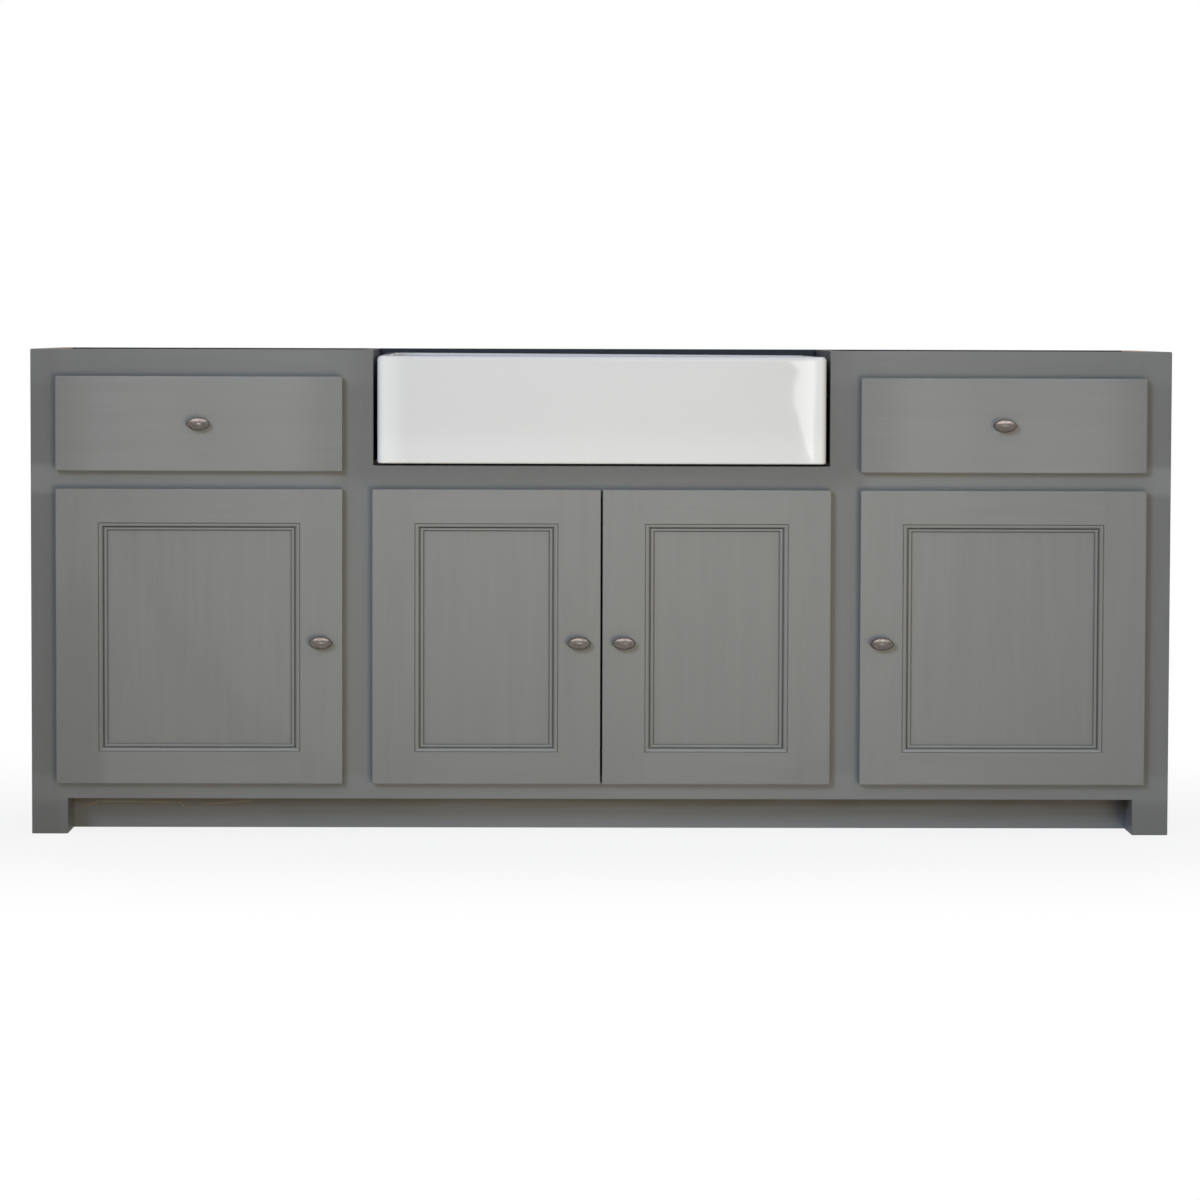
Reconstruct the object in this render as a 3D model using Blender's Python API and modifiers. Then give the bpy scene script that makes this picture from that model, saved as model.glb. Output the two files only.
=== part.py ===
"""Kitchen base cabinet: a painted face frame on a boarded carcass, with a farmhouse sink.

The cabinet stands on the floor at z = 0. Its front faces -Y, +X is to the right and +Z is up.
A pair of doors closes the bay under the sink. Each side bay has a drawer above a single door.
All sizes are in metres.
"""

import math

import bmesh
import bpy
from mathutils import Matrix, Vector

# Cabinet
CABINET_WIDTH = 2.020
CABINET_HEIGHT = 0.860
CARCASS_DEPTH = 0.580
FRAME_THICKNESS = 0.022
BOARD_THICKNESS = 0.018
BACK_THICKNESS = 0.009
FIT_GAP = 0.0003
ARRIS = 0.0010

# Face frame
OUTER_STILE_WIDTH = 0.064
MID_STILE_WIDTH = 0.0885
TOE_HEIGHT = 0.063
BOTTOM_RAIL_HEIGHT = 0.044
DRAWER_RAIL_HEIGHT = 0.061
DRAWER_OPENING_HEIGHT = 0.1375
TOP_RAIL_HEIGHT = 0.0625

# Feet and kickboard
TOE_SETBACK = 0.112
FOOT_BLOCK_DEPTH = 0.038

# Sink and what carries it
SINK_WIDTH = 0.795
SINK_DEPTH = 0.460
SINK_HEIGHT = 0.190
SINK_DROP = 0.0107
SINK_PROUD = 0.012
SINK_SIDE_GAP = 0.007
SINK_WALL = 0.024
SINK_FLOOR = 0.028
SINK_EDGE_RADIUS = 0.007
SINK_CORNER_RADIUS = 0.012
BOWL_CORNER_RADIUS = 0.045
BOWL_FLOOR_RADIUS = 0.030
BOWL_TAPER = 0.004
BOWL_FALL = 0.003
WASTE_DIAMETER = 0.090
STILE_NOTCH = 0.017
PARTITION_CLEARANCE = 0.0125
SINK_SHELF_THICKNESS = 0.025
SHELF_HOLE_DIAMETER = 0.130
BACK_RAIL_HEIGHT = 0.100

# Doors
DOOR_THICKNESS = 0.022
DOOR_GAP = 0.003
SIDE_OVERLAY = 0.018
END_OVERLAY = 0.015
PAIR_GAP = 0.0035
DOOR_STILE_WIDTH = 0.075
DOOR_TOP_RAIL_WIDTH = 0.060
DOOR_BOTTOM_RAIL_WIDTH = 0.057
PANEL_THICKNESS = 0.006
PANEL_RECESS = 0.010
PANEL_GROOVE_DEPTH = 0.008

# Moulding worked on the inner edge of a door frame, from the frame towards the panel
QUIRK_WIDTH = 0.0008
QUIRK_DEPTH = 0.0012
OVOLO_WIDTH = 0.0065
OVOLO_DEPTH = 0.0050
FILLET_WIDTH = 0.0012
FILLET_DEPTH = 0.0006
BEAD_RADIUS = 0.0023
PANEL_LINE_WIDTH = 0.0009
MOULDING_STEPS = 5

# Concealed hinges
HINGE_INSET = 0.100
PIVOT_DEPTH = 0.010
SWING_CLEARANCE = 0.00025
CUP_DIAMETER = 0.035
CUP_EDGE_DISTANCE = 0.003
CUP_DEPTH = 0.0145
CUP_WALL = 0.0012
CUP_FLOOR = 0.0010
WING_LENGTH = 0.062
WING_WIDTH = 0.018
WING_THICKNESS = 0.0010
WING_CORNER_RADIUS = 0.006
PIN_RADIUS = 0.0014
EYE_RADIUS = 0.0030
FINGER_WIDTH = 0.007
FINGER_THICKNESS = 0.0026
LEG_THICKNESS = 0.0030
PLATE_THICKNESS = 0.0020
PLATE_HEIGHT = 0.036
PLATE_MARGIN = 0.002

# Drawers
DRAWER_SIDE_CLEARANCE = 0.006
DRAWER_BOX_DEPTH = 0.480
DRAWER_BOX_HEIGHT = 0.115
DRAWER_WALL = 0.015
DRAWER_BOTTOM_THICKNESS = 0.006
DRAWER_BOTTOM_RISE = 0.010
DRAWER_GROOVE_DEPTH = 0.006
GUIDE_WIDTH = 0.015
GUIDE_HEIGHT = 0.028
GUIDE_GAP = 0.0005

# Oval knobs
KNOB_LENGTH = 0.0425
KNOB_HEIGHT = 0.0235
KNOB_PROJECTION = 0.026
KNOB_RIM = 0.0145
KNOB_FOOT_RADIUS = 0.008
KNOB_NECK_RADIUS = 0.006
KNOB_NECK = 0.006
KNOB_HOLLOW = 0.003
KNOB_TIP = 0.05
KNOB_DOME_TURN = math.radians(78)
KNOB_EDGE_DISTANCE = 0.038
DOOR_KNOB_DROP = 0.271

# Facets of the round pieces
CORNER_POINTS = 5
CUP_SIDES = 24
PIN_SIDES = 12
KNOB_SIDES = 20
KNOB_DOME_STEPS = 4

# Planes along Y
OVERALL_DEPTH = KNOB_PROJECTION + DOOR_THICKNESS + DOOR_GAP + CARCASS_DEPTH
BACK_Y = OVERALL_DEPTH / 2
FRAME_FRONT = BACK_Y - CARCASS_DEPTH
FRAME_BACK = FRAME_FRONT + FRAME_THICKNESS
BOARD_FRONT = FRAME_BACK + FIT_GAP
BOARD_BACK = BACK_Y - BACK_THICKNESS - FIT_GAP
DOOR_BACK = FRAME_FRONT - DOOR_GAP
DOOR_FRONT = DOOR_BACK - DOOR_THICKNESS
KICKBOARD_FRONT = FRAME_FRONT + TOE_SETBACK
KICKBOARD_BACK = KICKBOARD_FRONT + BOARD_THICKNESS
FOOT_BLOCK_BACK = BOARD_FRONT + FOOT_BLOCK_DEPTH
SINK_FRONT = FRAME_FRONT - SINK_PROUD
SINK_CENTRE_Y = SINK_FRONT + SINK_DEPTH / 2

# Distances from the middle plane along X
HALF_WIDTH = CABINET_WIDTH / 2
STILE_INNER = HALF_WIDTH - OUTER_STILE_WIDTH
SIDE_INNER = HALF_WIDTH - BOARD_THICKNESS
SINK_OPENING = SINK_WIDTH / 2 + SINK_SIDE_GAP
MID_INNER = SINK_OPENING - STILE_NOTCH
MID_OUTER = MID_INNER + MID_STILE_WIDTH
PARTITION_INNER = SINK_WIDTH / 2 + PARTITION_CLEARANCE
PARTITION_OUTER = PARTITION_INNER + BOARD_THICKNESS

# Heights
BOTTOM_RAIL_TOP = TOE_HEIGHT + BOTTOM_RAIL_HEIGHT
BASE_BOTTOM = BOTTOM_RAIL_TOP - BOARD_THICKNESS
TOP_RAIL_BOTTOM = CABINET_HEIGHT - TOP_RAIL_HEIGHT
DRAWER_RAIL_TOP = TOP_RAIL_BOTTOM - DRAWER_OPENING_HEIGHT
DRAWER_RAIL_BOTTOM = DRAWER_RAIL_TOP - DRAWER_RAIL_HEIGHT
SINK_BOTTOM = CABINET_HEIGHT - SINK_DROP - SINK_HEIGHT
SINK_SEAT = SINK_BOTTOM - FIT_GAP
DOOR_BOTTOM = BOTTOM_RAIL_TOP - END_OVERLAY
DOOR_TOP = DRAWER_RAIL_BOTTOM + END_OVERLAY
DOOR_KNOB_Z = DOOR_TOP - DOOR_KNOB_DROP

# The pivot is as far from the door's edge as lets the door's back corner turn clear of the frame
TURN_ROOM = DOOR_GAP - SWING_CLEARANCE
PIVOT_EDGE = math.sqrt(TURN_ROOM * (TURN_ROOM + 2 * PIVOT_DEPTH))
PIVOT_Y = DOOR_BACK - PIVOT_DEPTH
CUP_CENTRE = CUP_EDGE_DISTANCE + CUP_DIAMETER / 2 - PIVOT_EDGE

SIDES = (("left", -1), ("right", 1))


def clear_scene():
    """Remove every object that the scene starts with."""
    for item in list(bpy.data.objects):
        bpy.data.objects.remove(item, do_unlink=True)


def new_collection(name):
    """Make a collection in the scene."""
    collection = bpy.data.collections.new(name)
    bpy.context.scene.collection.children.link(collection)
    return collection


def new_finish(name, colour, roughness, metallic=0.0):
    """Make a plain surface finish."""
    finish = bpy.data.materials.new(name)
    finish.use_nodes = True
    shader = finish.node_tree.nodes["Principled BSDF"]
    shader.inputs["Base Color"].default_value = (*colour, 1.0)
    shader.inputs["Roughness"].default_value = roughness
    shader.inputs["Metallic"].default_value = metallic
    return finish


clear_scene()
CABINET = new_collection("kitchen_base_cabinet")
CUTTERS = new_collection("cutters")
GREY_PAINT = new_finish("grey_paint", (0.215, 0.217, 0.204), 0.45)
FRAME_PAINT = new_finish("frame_paint", (0.185, 0.188, 0.182), 0.45)
DARK_PAINT = new_finish("dark_paint", (0.030, 0.034, 0.045), 0.55)
PINE = new_finish("pine", (0.560, 0.390, 0.220), 0.55)
FIRECLAY = new_finish("white_fireclay", (0.780, 0.780, 0.765), 0.12)
PEWTER = new_finish("antique_pewter", (0.260, 0.215, 0.185), 0.35, 1.0)
STEEL = new_finish("nickel_plated_steel", (0.560, 0.555, 0.540), 0.30, 1.0)


def span(side, near, far):
    """The x range between two distances from the middle, on the left (-1) or the right (1)."""
    return tuple(sorted((side * near, side * far)))


def link_mesh(name, mesh, finish, location, parent=None):
    """Put a mesh in the cabinet as a named piece, placed from its parent."""
    piece = bpy.data.objects.new(name, mesh)
    CABINET.objects.link(piece)
    if not mesh.materials:
        mesh.materials.append(finish)
    piece.parent = parent
    piece.location = location - (parent.location if parent else Vector())
    return piece


def place(name, shape, finish, parent=None, smooth=False):
    """Turn a shape in cabinet coordinates into a piece whose origin is the middle of its box."""
    corners = [vert.co for vert in shape.verts]
    low = Vector([min(point[axis] for point in corners) for axis in range(3)])
    high = Vector([max(point[axis] for point in corners) for axis in range(3)])
    centre = (low + high) / 2
    bmesh.ops.translate(shape, verts=shape.verts, vec=-centre)
    mesh = bpy.data.meshes.new(name)
    shape.to_mesh(mesh)
    shape.free()
    if smooth:
        mesh.shade_smooth()
        mesh.set_sharp_from_angle(angle=math.radians(40))
    return link_mesh(name, mesh, finish, centre, parent)


def ease(piece):
    """Take the sharp arris off a board's edges."""
    bevel = piece.modifiers.new("arris", "BEVEL")
    bevel.width = ARRIS
    bevel.segments = 1
    bevel.limit_method = "ANGLE"
    return piece


def box(x, y, z):
    """A block between two planes along each axis."""
    shape = bmesh.new()
    bmesh.ops.create_cube(shape, size=1.0)
    size = Vector([limits[1] - limits[0] for limits in (x, y, z)])
    centre = Vector([(limits[0] + limits[1]) / 2 for limits in (x, y, z)])
    bmesh.ops.scale(shape, verts=shape.verts, vec=size)
    bmesh.ops.translate(shape, verts=shape.verts, vec=centre)
    return shape


def board(name, x, y, z, finish, parent=None):
    """A planed board with eased edges."""
    return ease(place(name, box(x, y, z), finish, parent))


def loft(loops, closed=False):
    """Skin a row of loops with equal point counts, closed into a ring or capped at both ends."""
    shape = bmesh.new()
    rows = [[shape.verts.new(point) for point in loop] for loop in loops]
    followers = rows[1:] + rows[:1] if closed else rows[1:]
    for row, follower in zip(rows, followers):
        for index in range(len(row)):
            after = (index + 1) % len(row)
            shape.faces.new((row[index], row[after], follower[after], follower[index]))
    if not closed:
        shape.faces.new(rows[0])
        shape.faces.new(rows[-1])
    bmesh.ops.recalc_face_normals(shape, faces=shape.faces)
    return shape


def prism(outline, axis, low, high):
    """Extrude an outline: (x, y) points along Z, or (x, z) points along Y."""
    def lift(height):
        if axis == "Z":
            return [Vector((a, b, height)) for a, b in outline]
        return [Vector((a, height, b)) for a, b in outline]

    return loft([lift(low), lift(high)])


def rounded_rectangle(half_x, half_y, radius):
    """Points of a rounded rectangle about the origin, anticlockwise from its lower right corner."""
    corners = ((1, -1), (1, 1), (-1, 1), (-1, -1))
    points = []
    for index, (sign_x, sign_y) in enumerate(corners):
        for step in range(CORNER_POINTS):
            angle = math.radians(90 * (index - 1 + step / (CORNER_POINTS - 1)))
            across = sign_x * (half_x - radius) + radius * math.cos(angle)
            along = sign_y * (half_y - radius) + radius * math.sin(angle)
            points.append((across, along))
    return points


def ellipse(half_x, half_y, count, start=0.0):
    """Points of an ellipse about the origin, anticlockwise from a share of a step past its lowest point."""
    angles = [math.tau * ((index + start) / count - 0.25) for index in range(count)]
    return [(half_x * math.cos(angle), half_y * math.sin(angle)) for angle in angles]


def cylinder(radius, start, end, sides):
    """A round bar between two points."""
    shape = bmesh.new()
    along = end - start
    bmesh.ops.create_cone(
        shape, cap_ends=True, segments=sides, radius1=radius, radius2=radius, depth=along.length
    )
    turn = Vector((0, 0, 1)).rotation_difference(along).to_matrix().to_4x4()
    bmesh.ops.transform(shape, matrix=Matrix.Translation((start + end) / 2) @ turn, verts=shape.verts)
    return shape


def tool(name, shape, parent=None):
    """Keep a shape as a hidden cutter."""
    piece = place(name, shape, STEEL, parent)
    CABINET.objects.unlink(piece)
    CUTTERS.objects.link(piece)
    piece.hide_render = True
    piece.display_type = "WIRE"
    return piece


def combine(piece, other, operation):
    """Cut a piece by another, or join the other to it."""
    step = piece.modifiers.new(other.name, "BOOLEAN")
    step.operation = operation
    step.object = other
    step.solver = "EXACT"


def axis_empty(name, location):
    """An empty that stands on a joint's axis and carries a moving assembly."""
    empty = bpy.data.objects.new(name, None)
    CABINET.objects.link(empty)
    empty.location = location
    empty.empty_display_size = 0.05
    return empty


def build_face_frame():
    """Stiles and rails of the painted front frame, with the outer stiles run down as feet."""
    depth = (FRAME_FRONT, FRAME_BACK)
    rails = (STILE_INNER - FIT_GAP, MID_OUTER + FIT_GAP)
    for word, side in SIDES:
        outer = span(side, STILE_INNER, HALF_WIDTH)
        board(f"outer_stile_{word}", outer, depth, (0, CABINET_HEIGHT), FRAME_PAINT)
        outline = [
            (side * MID_INNER, BOTTOM_RAIL_TOP + FIT_GAP),
            (side * MID_OUTER, BOTTOM_RAIL_TOP + FIT_GAP),
            (side * MID_OUTER, CABINET_HEIGHT),
            (side * SINK_OPENING, CABINET_HEIGHT),
            (side * SINK_OPENING, SINK_SEAT),
            (side * MID_INNER, SINK_SEAT),
        ]
        ease(place(f"mid_stile_{word}", prism(outline, "Y", *depth), FRAME_PAINT))
        board(f"top_rail_{word}", span(side, *rails), depth, (TOP_RAIL_BOTTOM, CABINET_HEIGHT), FRAME_PAINT)
        drawer_rail = (DRAWER_RAIL_BOTTOM, DRAWER_RAIL_TOP)
        board(f"drawer_rail_{word}", span(side, *rails), depth, drawer_rail, FRAME_PAINT)
    sink_rail = MID_INNER - FIT_GAP
    board("sink_rail", (-sink_rail, sink_rail), depth, (DRAWER_RAIL_BOTTOM, SINK_SEAT), FRAME_PAINT)
    bottom_rail = STILE_INNER - FIT_GAP
    board("bottom_rail", (-bottom_rail, bottom_rail), depth, (TOE_HEIGHT, BOTTOM_RAIL_TOP), FRAME_PAINT)


def build_carcass():
    """Sides, partitions, base, back, kickboard and foot blocks."""
    depth = (BOARD_FRONT, BOARD_BACK)
    inside = SIDE_INNER - FIT_GAP
    for word, side in SIDES:
        board(f"side_panel_{word}", span(side, SIDE_INNER, HALF_WIDTH), (BOARD_FRONT, BACK_Y),
              (0, CABINET_HEIGHT), FRAME_PAINT)
        board(f"partition_{word}", span(side, PARTITION_INNER, PARTITION_OUTER), depth,
              (BOTTOM_RAIL_TOP + FIT_GAP, CABINET_HEIGHT), PINE)
        board(f"foot_block_{word}", span(side, STILE_INNER, inside), (BOARD_FRONT, FOOT_BLOCK_BACK),
              (0, BASE_BOTTOM - FIT_GAP), FRAME_PAINT)
    board("base_panel", (-inside, inside), depth, (BASE_BOTTOM, BOTTOM_RAIL_TOP), PINE)
    board("back_panel", (-inside, inside), (BACK_Y - BACK_THICKNESS, BACK_Y),
          (BASE_BOTTOM, CABINET_HEIGHT), DARK_PAINT)
    back_rail = PARTITION_INNER - FIT_GAP
    board("back_rail", (-back_rail, back_rail), (BOARD_BACK - BOARD_THICKNESS, BOARD_BACK),
          (CABINET_HEIGHT - BACK_RAIL_HEIGHT, CABINET_HEIGHT), PINE)
    near = FOOT_BLOCK_BACK + FIT_GAP
    outer = STILE_INNER + BOARD_THICKNESS
    outline = [
        (-outer, near), (-STILE_INNER, near), (-STILE_INNER, KICKBOARD_FRONT),
        (STILE_INNER, KICKBOARD_FRONT), (STILE_INNER, near), (outer, near),
        (outer, KICKBOARD_BACK), (-outer, KICKBOARD_BACK),
    ]
    ease(place("kickboard", prism(outline, "Z", 0, BASE_BOTTOM - FIT_GAP), FRAME_PAINT))


def build_sink():
    """The fireclay sink, skinned from its waste hole over the rim and back, on its shelf."""
    count = 4 * CORNER_POINTS
    quarter = [math.radians(angle) for angle in (0, 30, 60, 90)]
    edge = SINK_EDGE_RADIUS

    def ring(inset, radius, height):
        points = rounded_rectangle(SINK_WIDTH / 2 - inset, SINK_DEPTH / 2 - inset, radius)
        return [Vector((x, y + SINK_CENTRE_Y, SINK_BOTTOM + height)) for x, y in points]

    def waste(height):
        points = ellipse(WASTE_DIAMETER / 2, WASTE_DIAMETER / 2, count, start=0.5)
        return [Vector((x, y + SINK_CENTRE_Y, SINK_BOTTOM + height)) for x, y in points]

    loops = [waste(0.0)]
    for angle in quarter:
        inset = edge * (1 - math.sin(angle))
        loops.append(ring(inset, SINK_CORNER_RADIUS - inset, edge * (1 - math.cos(angle))))
    for angle in quarter:
        inset = edge * (1 - math.cos(angle))
        loops.append(ring(inset, SINK_CORNER_RADIUS - inset, SINK_HEIGHT - edge * (1 - math.sin(angle))))
    for angle in quarter:
        inset = SINK_WALL - edge * (1 - math.sin(angle))
        radius = BOWL_CORNER_RADIUS + SINK_WALL - inset
        loops.append(ring(inset, radius, SINK_HEIGHT - edge * (1 - math.cos(angle))))
    for angle in quarter:
        inset = SINK_WALL + BOWL_TAPER + BOWL_FLOOR_RADIUS * (1 - math.cos(angle))
        radius = BOWL_CORNER_RADIUS + SINK_WALL - inset
        loops.append(ring(inset, radius, SINK_FLOOR + BOWL_FLOOR_RADIUS * (1 - math.sin(angle))))
    loops.append(waste(SINK_FLOOR - BOWL_FALL))
    place("sink", loft(loops, closed=True), FIRECLAY, smooth=True)

    width = PARTITION_INNER - FIT_GAP
    shelf = board("sink_shelf", (-width, width), (BOARD_FRONT, BOARD_BACK),
                  (SINK_SEAT - SINK_SHELF_THICKNESS, SINK_SEAT), PINE)
    reach = Vector((0, 0, SINK_SHELF_THICKNESS))
    middle = Vector((0, SINK_CENTRE_Y, SINK_SEAT - SINK_SHELF_THICKNESS / 2))
    hole = cylinder(SHELF_HOLE_DIAMETER / 2, middle - reach, middle + reach, CUP_SIDES)
    combine(shelf, tool("shelf_hole", hole), "DIFFERENCE")


def build_knob(name, x, z, parent):
    """An oval cast knob, skinned from its round foot over the neck and rim to the dome."""
    half_x = KNOB_LENGTH / 2
    half_z = KNOB_HEIGHT / 2
    dome = KNOB_PROJECTION - KNOB_RIM
    stations = [
        (FIT_GAP, KNOB_FOOT_RADIUS, KNOB_FOOT_RADIUS),
        (KNOB_NECK, KNOB_NECK_RADIUS, KNOB_NECK_RADIUS),
        (KNOB_RIM - KNOB_HOLLOW, (half_x + KNOB_NECK_RADIUS) / 2, (half_z + KNOB_NECK_RADIUS) / 2),
    ]
    for step in range(KNOB_DOME_STEPS + 1):
        angle = KNOB_DOME_TURN * step / KNOB_DOME_STEPS
        shrink = math.cos(angle)
        stations.append((KNOB_RIM + dome * math.sin(angle), half_x * shrink, half_z * shrink))
    stations.append((KNOB_PROJECTION, half_x * KNOB_TIP, half_z * KNOB_TIP))
    loops = []
    for reach, across, up in stations:
        points = ellipse(across, up, KNOB_SIDES)
        loops.append([Vector((x + a, DOOR_FRONT - reach, z + b)) for a, b in points])
    place(name, loft(loops), PEWTER, parent, smooth=True)


def door_profile():
    """The section of a door frame as (sight, inset, depth) points, round its whole outline.

    sight is 0 for an inset from the door's edge and 1 for one from the edge of the moulding.
    """
    points = [(0, 0.0, ARRIS), (0, ARRIS, 0.0), (1, 0.0, 0.0), (1, 0.0, QUIRK_DEPTH)]
    for step in range(MOULDING_STEPS + 1):
        angle = math.radians(90 * step / MOULDING_STEPS)
        inset = QUIRK_WIDTH + OVOLO_WIDTH * math.sin(angle)
        points.append((1, inset, QUIRK_DEPTH + OVOLO_DEPTH * (1 - math.cos(angle))))
    floor = QUIRK_DEPTH + OVOLO_DEPTH + FILLET_DEPTH
    bead = QUIRK_WIDTH + OVOLO_WIDTH + FILLET_WIDTH
    points.append((1, QUIRK_WIDTH + OVOLO_WIDTH, floor))
    for step in range(MOULDING_STEPS + 1):
        angle = math.radians(180 * step / MOULDING_STEPS)
        inset = bead + BEAD_RADIUS * (1 - math.cos(angle))
        points.append((1, inset, floor - BEAD_RADIUS * math.sin(angle)))
    lip = moulding_width()
    groove = lip - PANEL_GROOVE_DEPTH
    front = PANEL_RECESS - FIT_GAP
    back = PANEL_RECESS + PANEL_THICKNESS + FIT_GAP
    points += [(1, lip, floor), (1, lip, front), (1, groove, front), (1, groove, back), (1, lip, back)]
    points += [(1, lip, DOOR_THICKNESS), (0, ARRIS, DOOR_THICKNESS), (0, 0.0, DOOR_THICKNESS - ARRIS)]
    return points


def moulding_width():
    """How far the moulding reaches from the flat of the door frame to the panel."""
    return QUIRK_WIDTH + OVOLO_WIDTH + FILLET_WIDTH + 2 * BEAD_RADIUS + PANEL_LINE_WIDTH


def build_door(name, low_x, high_x, hinge_side, hinge_meshes):
    """A framed door with its panel, knob and two concealed hinges.

    hinge_side is -1 where the hinges are on the left edge and 1 where they are on the right.
    """
    edge = low_x if hinge_side < 0 else high_x
    free = high_x if hinge_side < 0 else low_x
    pivot_x = edge - hinge_side * PIVOT_EDGE
    carrier = axis_empty(f"{name}_axis", Vector((pivot_x, PIVOT_Y, (DOOR_BOTTOM + DOOR_TOP) / 2)))
    loops = []
    for sight, inset, depth in door_profile():
        side = sight * DOOR_STILE_WIDTH + inset
        bottom = DOOR_BOTTOM + sight * DOOR_BOTTOM_RAIL_WIDTH + inset
        top = DOOR_TOP - sight * DOOR_TOP_RAIL_WIDTH - inset
        left, right = low_x + side, high_x - side
        corners = ((left, bottom), (right, bottom), (right, top), (left, top))
        loops.append([Vector((x, DOOR_FRONT + depth, z)) for x, z in corners])
    frame = place(f"{name}_frame", loft(loops, closed=True), GREY_PAINT, carrier)

    sink_in = moulding_width() - PANEL_GROOVE_DEPTH + FIT_GAP
    panel_x = (low_x + DOOR_STILE_WIDTH + sink_in, high_x - DOOR_STILE_WIDTH - sink_in)
    panel_z = (DOOR_BOTTOM + DOOR_BOTTOM_RAIL_WIDTH + sink_in, DOOR_TOP - DOOR_TOP_RAIL_WIDTH - sink_in)
    panel_y = (DOOR_FRONT + PANEL_RECESS, DOOR_FRONT + PANEL_RECESS + PANEL_THICKNESS)
    place(f"{name}_panel", box(panel_x, panel_y, panel_z), GREY_PAINT, carrier)
    build_knob(f"{name}_knob", free + hinge_side * KNOB_EDGE_DISTANCE, DOOR_KNOB_Z, carrier)

    cup_mesh, arm_mesh = hinge_meshes
    turn = math.pi if hinge_side > 0 else 0.0
    for word, z in (("lower", DOOR_BOTTOM + HINGE_INSET), ("upper", DOOR_TOP - HINGE_INSET)):
        pivot = Vector((pivot_x, PIVOT_Y, z))
        cup = link_mesh(f"{name}_{word}_hinge_cup", cup_mesh, STEEL, pivot, carrier)
        arm = link_mesh(f"{name}_{word}_hinge_arm", arm_mesh, STEEL, pivot)
        cup.rotation_euler.y = turn
        arm.rotation_euler.y = turn
        middle = pivot + Vector((-hinge_side * CUP_CENTRE, PIVOT_DEPTH, 0))
        depth = Vector((0, CUP_DEPTH + FIT_GAP, 0))
        bore = cylinder(CUP_DIAMETER / 2 + FIT_GAP, middle - depth, middle + depth, CUP_SIDES)
        combine(frame, tool(f"{name}_{word}_cup_bore", bore, carrier), "DIFFERENCE")


def hinge_cup_mesh():
    """A hinge cup about its pivot: a pressed cup with two screw wings and the pivot pin across it."""
    rim = PIVOT_DEPTH + FIT_GAP + WING_THICKNESS
    floor = PIVOT_DEPTH - CUP_DEPTH
    radius = CUP_DIAMETER / 2
    centre = Vector((CUP_CENTRE, 0, 0))
    up = Vector((0, 1, 0))
    outer = cylinder(radius, centre + up * floor, centre + up * rim, CUP_SIDES)
    outline = rounded_rectangle(WING_WIDTH / 2, WING_LENGTH / 2, WING_CORNER_RADIUS)
    wings = prism([(x + CUP_CENTRE, z) for x, z in outline], "Y", PIVOT_DEPTH + FIT_GAP, rim)
    hollow = cylinder(radius - CUP_WALL, centre + up * (floor + CUP_FLOOR), centre + up * 2 * rim, CUP_SIDES)
    reach = math.sqrt((radius - CUP_WALL / 2) ** 2 - (CUP_CENTRE + PIN_RADIUS) ** 2)
    along = Vector((0, 0, reach))
    pin = cylinder(PIN_RADIUS, -along, along, PIN_SIDES)
    return fused_mesh("hinge_cup", outer, (("UNION", wings), ("DIFFERENCE", hollow), ("UNION", pin)))


def hinge_arm_mesh():
    """A hinge arm about its pivot: an eye on the pin, a finger along the cup and a plate on the stile."""
    stile = SIDE_OVERLAY - PIVOT_EDGE + FIT_GAP
    leg = stile + PLATE_THICKNESS
    near = DOOR_GAP + PIVOT_DEPTH + PLATE_MARGIN
    far = DOOR_GAP + PIVOT_DEPTH + FRAME_THICKNESS - PLATE_MARGIN
    top = FINGER_THICKNESS - EYE_RADIUS
    start = math.asin(top / EYE_RADIUS)
    outline = [(leg + LEG_THICKNESS, -EYE_RADIUS), (leg + LEG_THICKNESS, far), (leg, far), (leg, top)]
    for step in range(PIN_SIDES + 1):
        angle = start + (1.5 * math.pi - start) * step / PIN_SIDES
        outline.append((EYE_RADIUS * math.cos(angle), EYE_RADIUS * math.sin(angle)))
    finger = prism(outline, "Z", -FINGER_WIDTH / 2, FINGER_WIDTH / 2)
    plate = box((stile, leg + LEG_THICKNESS), (near, far), (-PLATE_HEIGHT / 2, PLATE_HEIGHT / 2))
    along = Vector((0, 0, FINGER_WIDTH))
    eye = cylinder(PIN_RADIUS + FIT_GAP, -along, along, PIN_SIDES)
    return fused_mesh("hinge_arm", finger, (("UNION", plate), ("DIFFERENCE", eye)))


def fused_mesh(name, shape, steps):
    """Work a row of (operation, shape) steps on a shape and return the one mesh that is left."""
    helpers = [tool(name, shape)]
    for index, (operation, other) in enumerate(steps):
        helpers.append(tool(f"{name}_{index}", other))
        combine(helpers[0], helpers[-1], operation)
    bpy.context.view_layer.update()
    evaluated = helpers[0].evaluated_get(bpy.context.evaluated_depsgraph_get())
    mesh = bpy.data.meshes.new_from_object(evaluated)
    mesh.name = name
    mesh.transform(Matrix.Translation(helpers[0].location))
    mesh.materials.clear()
    mesh.shade_smooth()
    mesh.set_sharp_from_angle(angle=math.radians(40))
    for helper in helpers:
        bpy.data.objects.remove(helper, do_unlink=True)
    return mesh


def build_doors():
    """The single doors of the side bays, hinged on the outside, and the pair under the sink."""
    hinge_meshes = (hinge_cup_mesh(), hinge_arm_mesh())
    for word, side in SIDES:
        outer = span(side, MID_OUTER - SIDE_OVERLAY, STILE_INNER + SIDE_OVERLAY)
        build_door(f"{word}_door", *outer, side, hinge_meshes)
        inner = span(side, PAIR_GAP / 2, MID_INNER + SIDE_OVERLAY)
        build_door(f"sink_door_{word}", *inner, side, hinge_meshes)


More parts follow.
